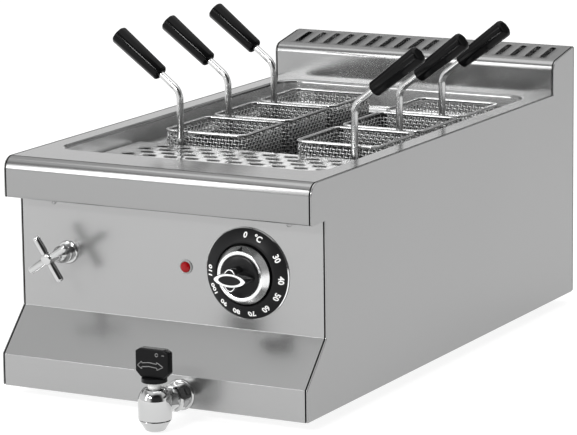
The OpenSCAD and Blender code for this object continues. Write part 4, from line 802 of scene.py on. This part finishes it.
bend, keep, fold = 0.0025, 0.0008, 0.0116
tray_rings = np.stack([np.column_stack([field_edge, 0 * field_edge[:, 0]])] + [
    np.column_stack([tray_outline(g, 0.021, 0.004), np.full(len(field_edge), -h)])
    for g, h in edge_roll(bend, keep) + [(0.0, bend + keep), (0.0, fold)]]) + tray_mid
tray_edge = grid_faces(len(tray_rings), len(field_edge), close_cols=True)[:, ::-1]
fitted("drain_tray", [backed([
    slotted(hole_at, (hole_step, hole_row), hole_size, tray_mid, to_right, to_rear), *strips,
    (tray_rings.reshape(-1, 3), tray_edge)], skin)], plate_steel,
    "drain_plate", "stainless", "drain_plate", edge=edge_painted_shade)

# Baskets: six alike. Each is a pocket of woven stainless wire between a rim and a base ring of round wire,
# with a bent rod welded to both rings and a moulded grip pushed over the rod's end.


def ring_line(w, d, r, count):
    """Points spread evenly along a rounded rectangle, and the outward direction at each."""
    a = np.linspace(0, np.pi / 2, 40) + np.arange(4)[:, None] * np.pi / 2
    line = round_rectangle(w, d, r, 40)
    out = np.stack([np.cos(a), np.sin(a)], -1).reshape(-1, 2)
    line, out = np.vstack([line, line[:1]]), np.vstack([out, out[:1]])
    way = np.concatenate([[0], np.cumsum(np.linalg.norm(np.diff(line, axis=0), axis=1))])
    at = (np.arange(count) + 0.5) * way[-1] / count
    found = [np.stack([np.interp(at, way, q[:, k]) for k in (0, 1)], 1) for q in (line, out)]
    return found[0], found[1] / np.linalg.norm(found[1], axis=1)[:, None]


def woven_net(mid):
    """Pocket of square weave: upright wires and level rings cross at equal steps, and at each crossing one stands
    out and the other in, changing over at the next. The floor is woven alike, its wires ending on the rounded
    outline. The crown value is 1 on a knuckle's exposed top and -1 where it lies against the crossing wire."""
    turns, rows, sway, wire_r, floor_wire_r = 96, 42, 0.0005, 0.00075, 0.0008
    line, out = ring_line(net_w, net_d, net_r, turns)
    flat = np.zeros((turns, rows, 3))
    flat[..., :2] = line[:, None] + mid
    flat[..., 2] = np.linspace(0.0838, 0.2560, rows) + base_z
    away = np.zeros((turns, 1, 3))
    away[:, 0, :2] = out
    round_way = np.stack([-away[..., 1], away[..., 0], away[..., 2]], -1)
    over = (-1.0) ** np.add.outer(np.arange(turns), np.arange(rows))
    swayed = sway * over[..., None] * away
    uprights = wires(flat + swayed, away, round_way, pointed(rows, wire_r), 4)
    levels = wires(
        (flat - swayed).transpose(1, 0, 2)[1:-1], upward, away.transpose(1, 0, 2), wire_r, 4, closed=True)
    columns, lines, step = 27, 25, 0.00415
    x, y = (np.arange(columns) - columns // 2) * step, ((np.arange(lines) - lines // 2) * step)[:, None]
    floor_over = (-1.0) ** np.add.outer(np.arange(lines), np.arange(columns))
    core_x, core_y = net_w / 2 - net_r, net_d / 2 - net_r
    end_x = core_x + np.sqrt(np.maximum(net_r ** 2 - np.maximum(np.abs(y) - core_y, 0) ** 2, 0))
    end_y = core_y + np.sqrt(np.maximum(net_r ** 2 - np.maximum(np.abs(x) - core_x, 0) ** 2, 0))
    floor_mid = np.array([*mid, base_z + 0.0832])
    along_x = np.stack(np.broadcast_arrays(np.clip(x, -end_x, end_x), y, sway * floor_over), -1) + floor_mid
    along_y = np.stack(np.broadcast_arrays(x, np.clip(y, -end_y, end_y), -sway * floor_over), -1) + floor_mid
    across = wires(along_x, to_rear, upward, pointed(columns, floor_wire_r), 4)
    lengthwise = wires(along_y.transpose(1, 0, 2), upward, to_right, pointed(lines, floor_wire_r), 4)
    first_out, second_out = np.array([1.0, 0, -1, 0]), np.array([0, 1.0, 0, -1])
    crown = np.concatenate([
        (over[..., None] * first_out).ravel(), (-over.T[1:-1, :, None] * second_out).ravel(),
        (floor_over[..., None] * second_out).ravel(), (-floor_over.T[..., None] * first_out).ravel()])
    return [uprights, levels, across, lengthwise], crown


woven_wire = sheet_steel("woven_wire", 0.98, 0.30, (200.0, 200.0, 200.0), grain=0.04, metal=0.45)
wire_tree = woven_wire.node_tree
wire_colour = wire_tree.nodes["Principled BSDF"].inputs["Base Color"]
wire_height = node(wire_tree, "SeparateXYZ", {0: node(wire_tree, "TexCoord", {})["Object"]})["Z"]
knuckle = node(wire_tree, "Attribute", {}, attribute_name="crown")["Fac"]
wire_tone = wire_colour.links[0].from_socket
# Painted highlight and shade: the wire colour is multiplied by two ramps. The first reads the crown attribute: it
# takes the wire near-black where it lies against the wire it crosses and keeps it full on a knuckle's exposed top.
# The second reads height and darkens the wires to 30% from 8 mm under the basket rim down to 32 mm under it.
for value, start, end, painted_dark in ((knuckle, -0.05, 0.25, 0.04), (wire_height, base_z + 0.226, base_z + 0.250, 0.30)):
    shade = node(wire_tree, "MapRange", {
        "Value": value, "From Min": start, "From Max": end, "To Min": painted_dark, "To Max": 1.0})["Result"]
    wire_tone = node(wire_tree, "Mix", {"Factor": 1.0, "A": wire_tone, "B": shade},
                     data_type="RGBA", blend_type="MULTIPLY")["Result"]
wire_tree.links.new(wire_tone, wire_colour)
frame_wire = sheet_steel("frame_wire", 0.56, 0.22, (200.0, 200.0, 200.0), grain=0.006, bump=0.0005)
grip_black = moulded("grip_black", (0.003, 0.003, 0.0032), 0.12, 0.02, bump=0.0002, shine=0.11)
net_w, net_d, net_r = 0.108, 0.103, 0.010
ring_heights, ring_r = (0.258, 0.0818), 0.002
loop = round_rectangle(net_w, net_d, net_r, 9)
loop_turn = (np.linspace(0, np.pi / 2, 9) + np.arange(4)[:, None] * np.pi / 2).ravel()
loop_out = np.stack([np.cos(loop_turn), np.sin(loop_turn), 0 * loop_turn], -1)[None]
lean = np.radians(52.5)
lean_line = np.array([np.sin(lean), np.cos(lean)])
rod_x, rod_y, rod_top, rod_r, grip_from = 0.028, -0.05775, 0.308, 0.0042, 0.032
rod_line = rolled([(0, 0.0798), (0, rod_top), (0, rod_top) + 0.045 * lean_line], [0, 0.020, 0], 14, closed=False)
rod_line = np.vstack([rod_line[0] + [(0, 0), (0, 0.0001), (0, 0.0010)], rod_line[1:-1],
                      rod_line[-1] - 0.0001 * lean_line, rod_line[-1]])
rod_thick = pointed(len(rod_line), rod_r)
rod_thick[1] = 0.0034
bead_half, bead_y, bead_r = 0.0058, 0.0040, 0.0019
bead_x = np.linspace(-1, 1, 9)
grip_far = np.array([0, 0, 0.5, 1.4, 2.4, 3, 40, 71.5, 72.4, 73.6, 74.5, 75, 75, 74.7, 74.7])
grip_less = np.array([99, 2.8, 1.4, 0.5, 0.1, 0, 0, 0, 0.1, 0.5, 1.3, 2.6, 3.2, 3.6, 99])
grip_flat = np.maximum(9.47 + (11.087 - 9.47) * grip_far / 75 - grip_less, 0)
grip_rings = np.stack([grip_far, grip_flat, grip_flat * 1.031], 1)
for basket in [f"basket_{number}" for number in range(1, 7)]:
    mid = face_middle(f"{basket}_net", 2, 0)[:2]
    side = 1.0 if mid[0] > 0 else -1.0
    weave, crown = woven_net(mid)
    fitted(f"{basket}_weave", weave, woven_wire, basket, "basket_wire", f"{basket}_net", crease=120.0, crown=crown)
    rims = [wires(np.column_stack([loop + mid, np.full(len(loop), z + base_z)])[None], upward, loop_out, ring_r,
                  12, closed=True) for z in ring_heights]
    rod_at = np.array([mid[0] + side * rod_x, mid[1] + rod_y, base_z])
    rod_path = np.stack([side * rod_line[:, 0], 0 * rod_line[:, 0], rod_line[:, 1]], 1)
    rod = round_bar(rod_at + rod_path, rod_thick, 20, to_rear)
    beads = [round_bar(rod_at + np.stack([bead_half * bead_x, 0 * bead_x + bead_y, 0 * bead_x + z], 1),
                       bead_r * np.sqrt(1 - bead_x ** 2), 10, upward) for z in ring_heights]
    fitted(f"{basket}_wirework", rims + [rod] + beads, frame_wire, basket, "bright_steel", f"{basket}_frame",
           crease=50.0)
    lean_way = np.array([side * np.sin(lean), 0, np.cos(lean)])
    lean_out = np.array([side * np.cos(lean), 0, -np.sin(lean)])
    fitted(f"{basket}_handle", [
        faceted(grip_rings, 8, 8, rod_at + rod_top * upward + grip_from * lean_way, lean_way, lean_out)], grip_black,
        basket, "grip_plastic", f"{basket}_grip", crease=30.0)
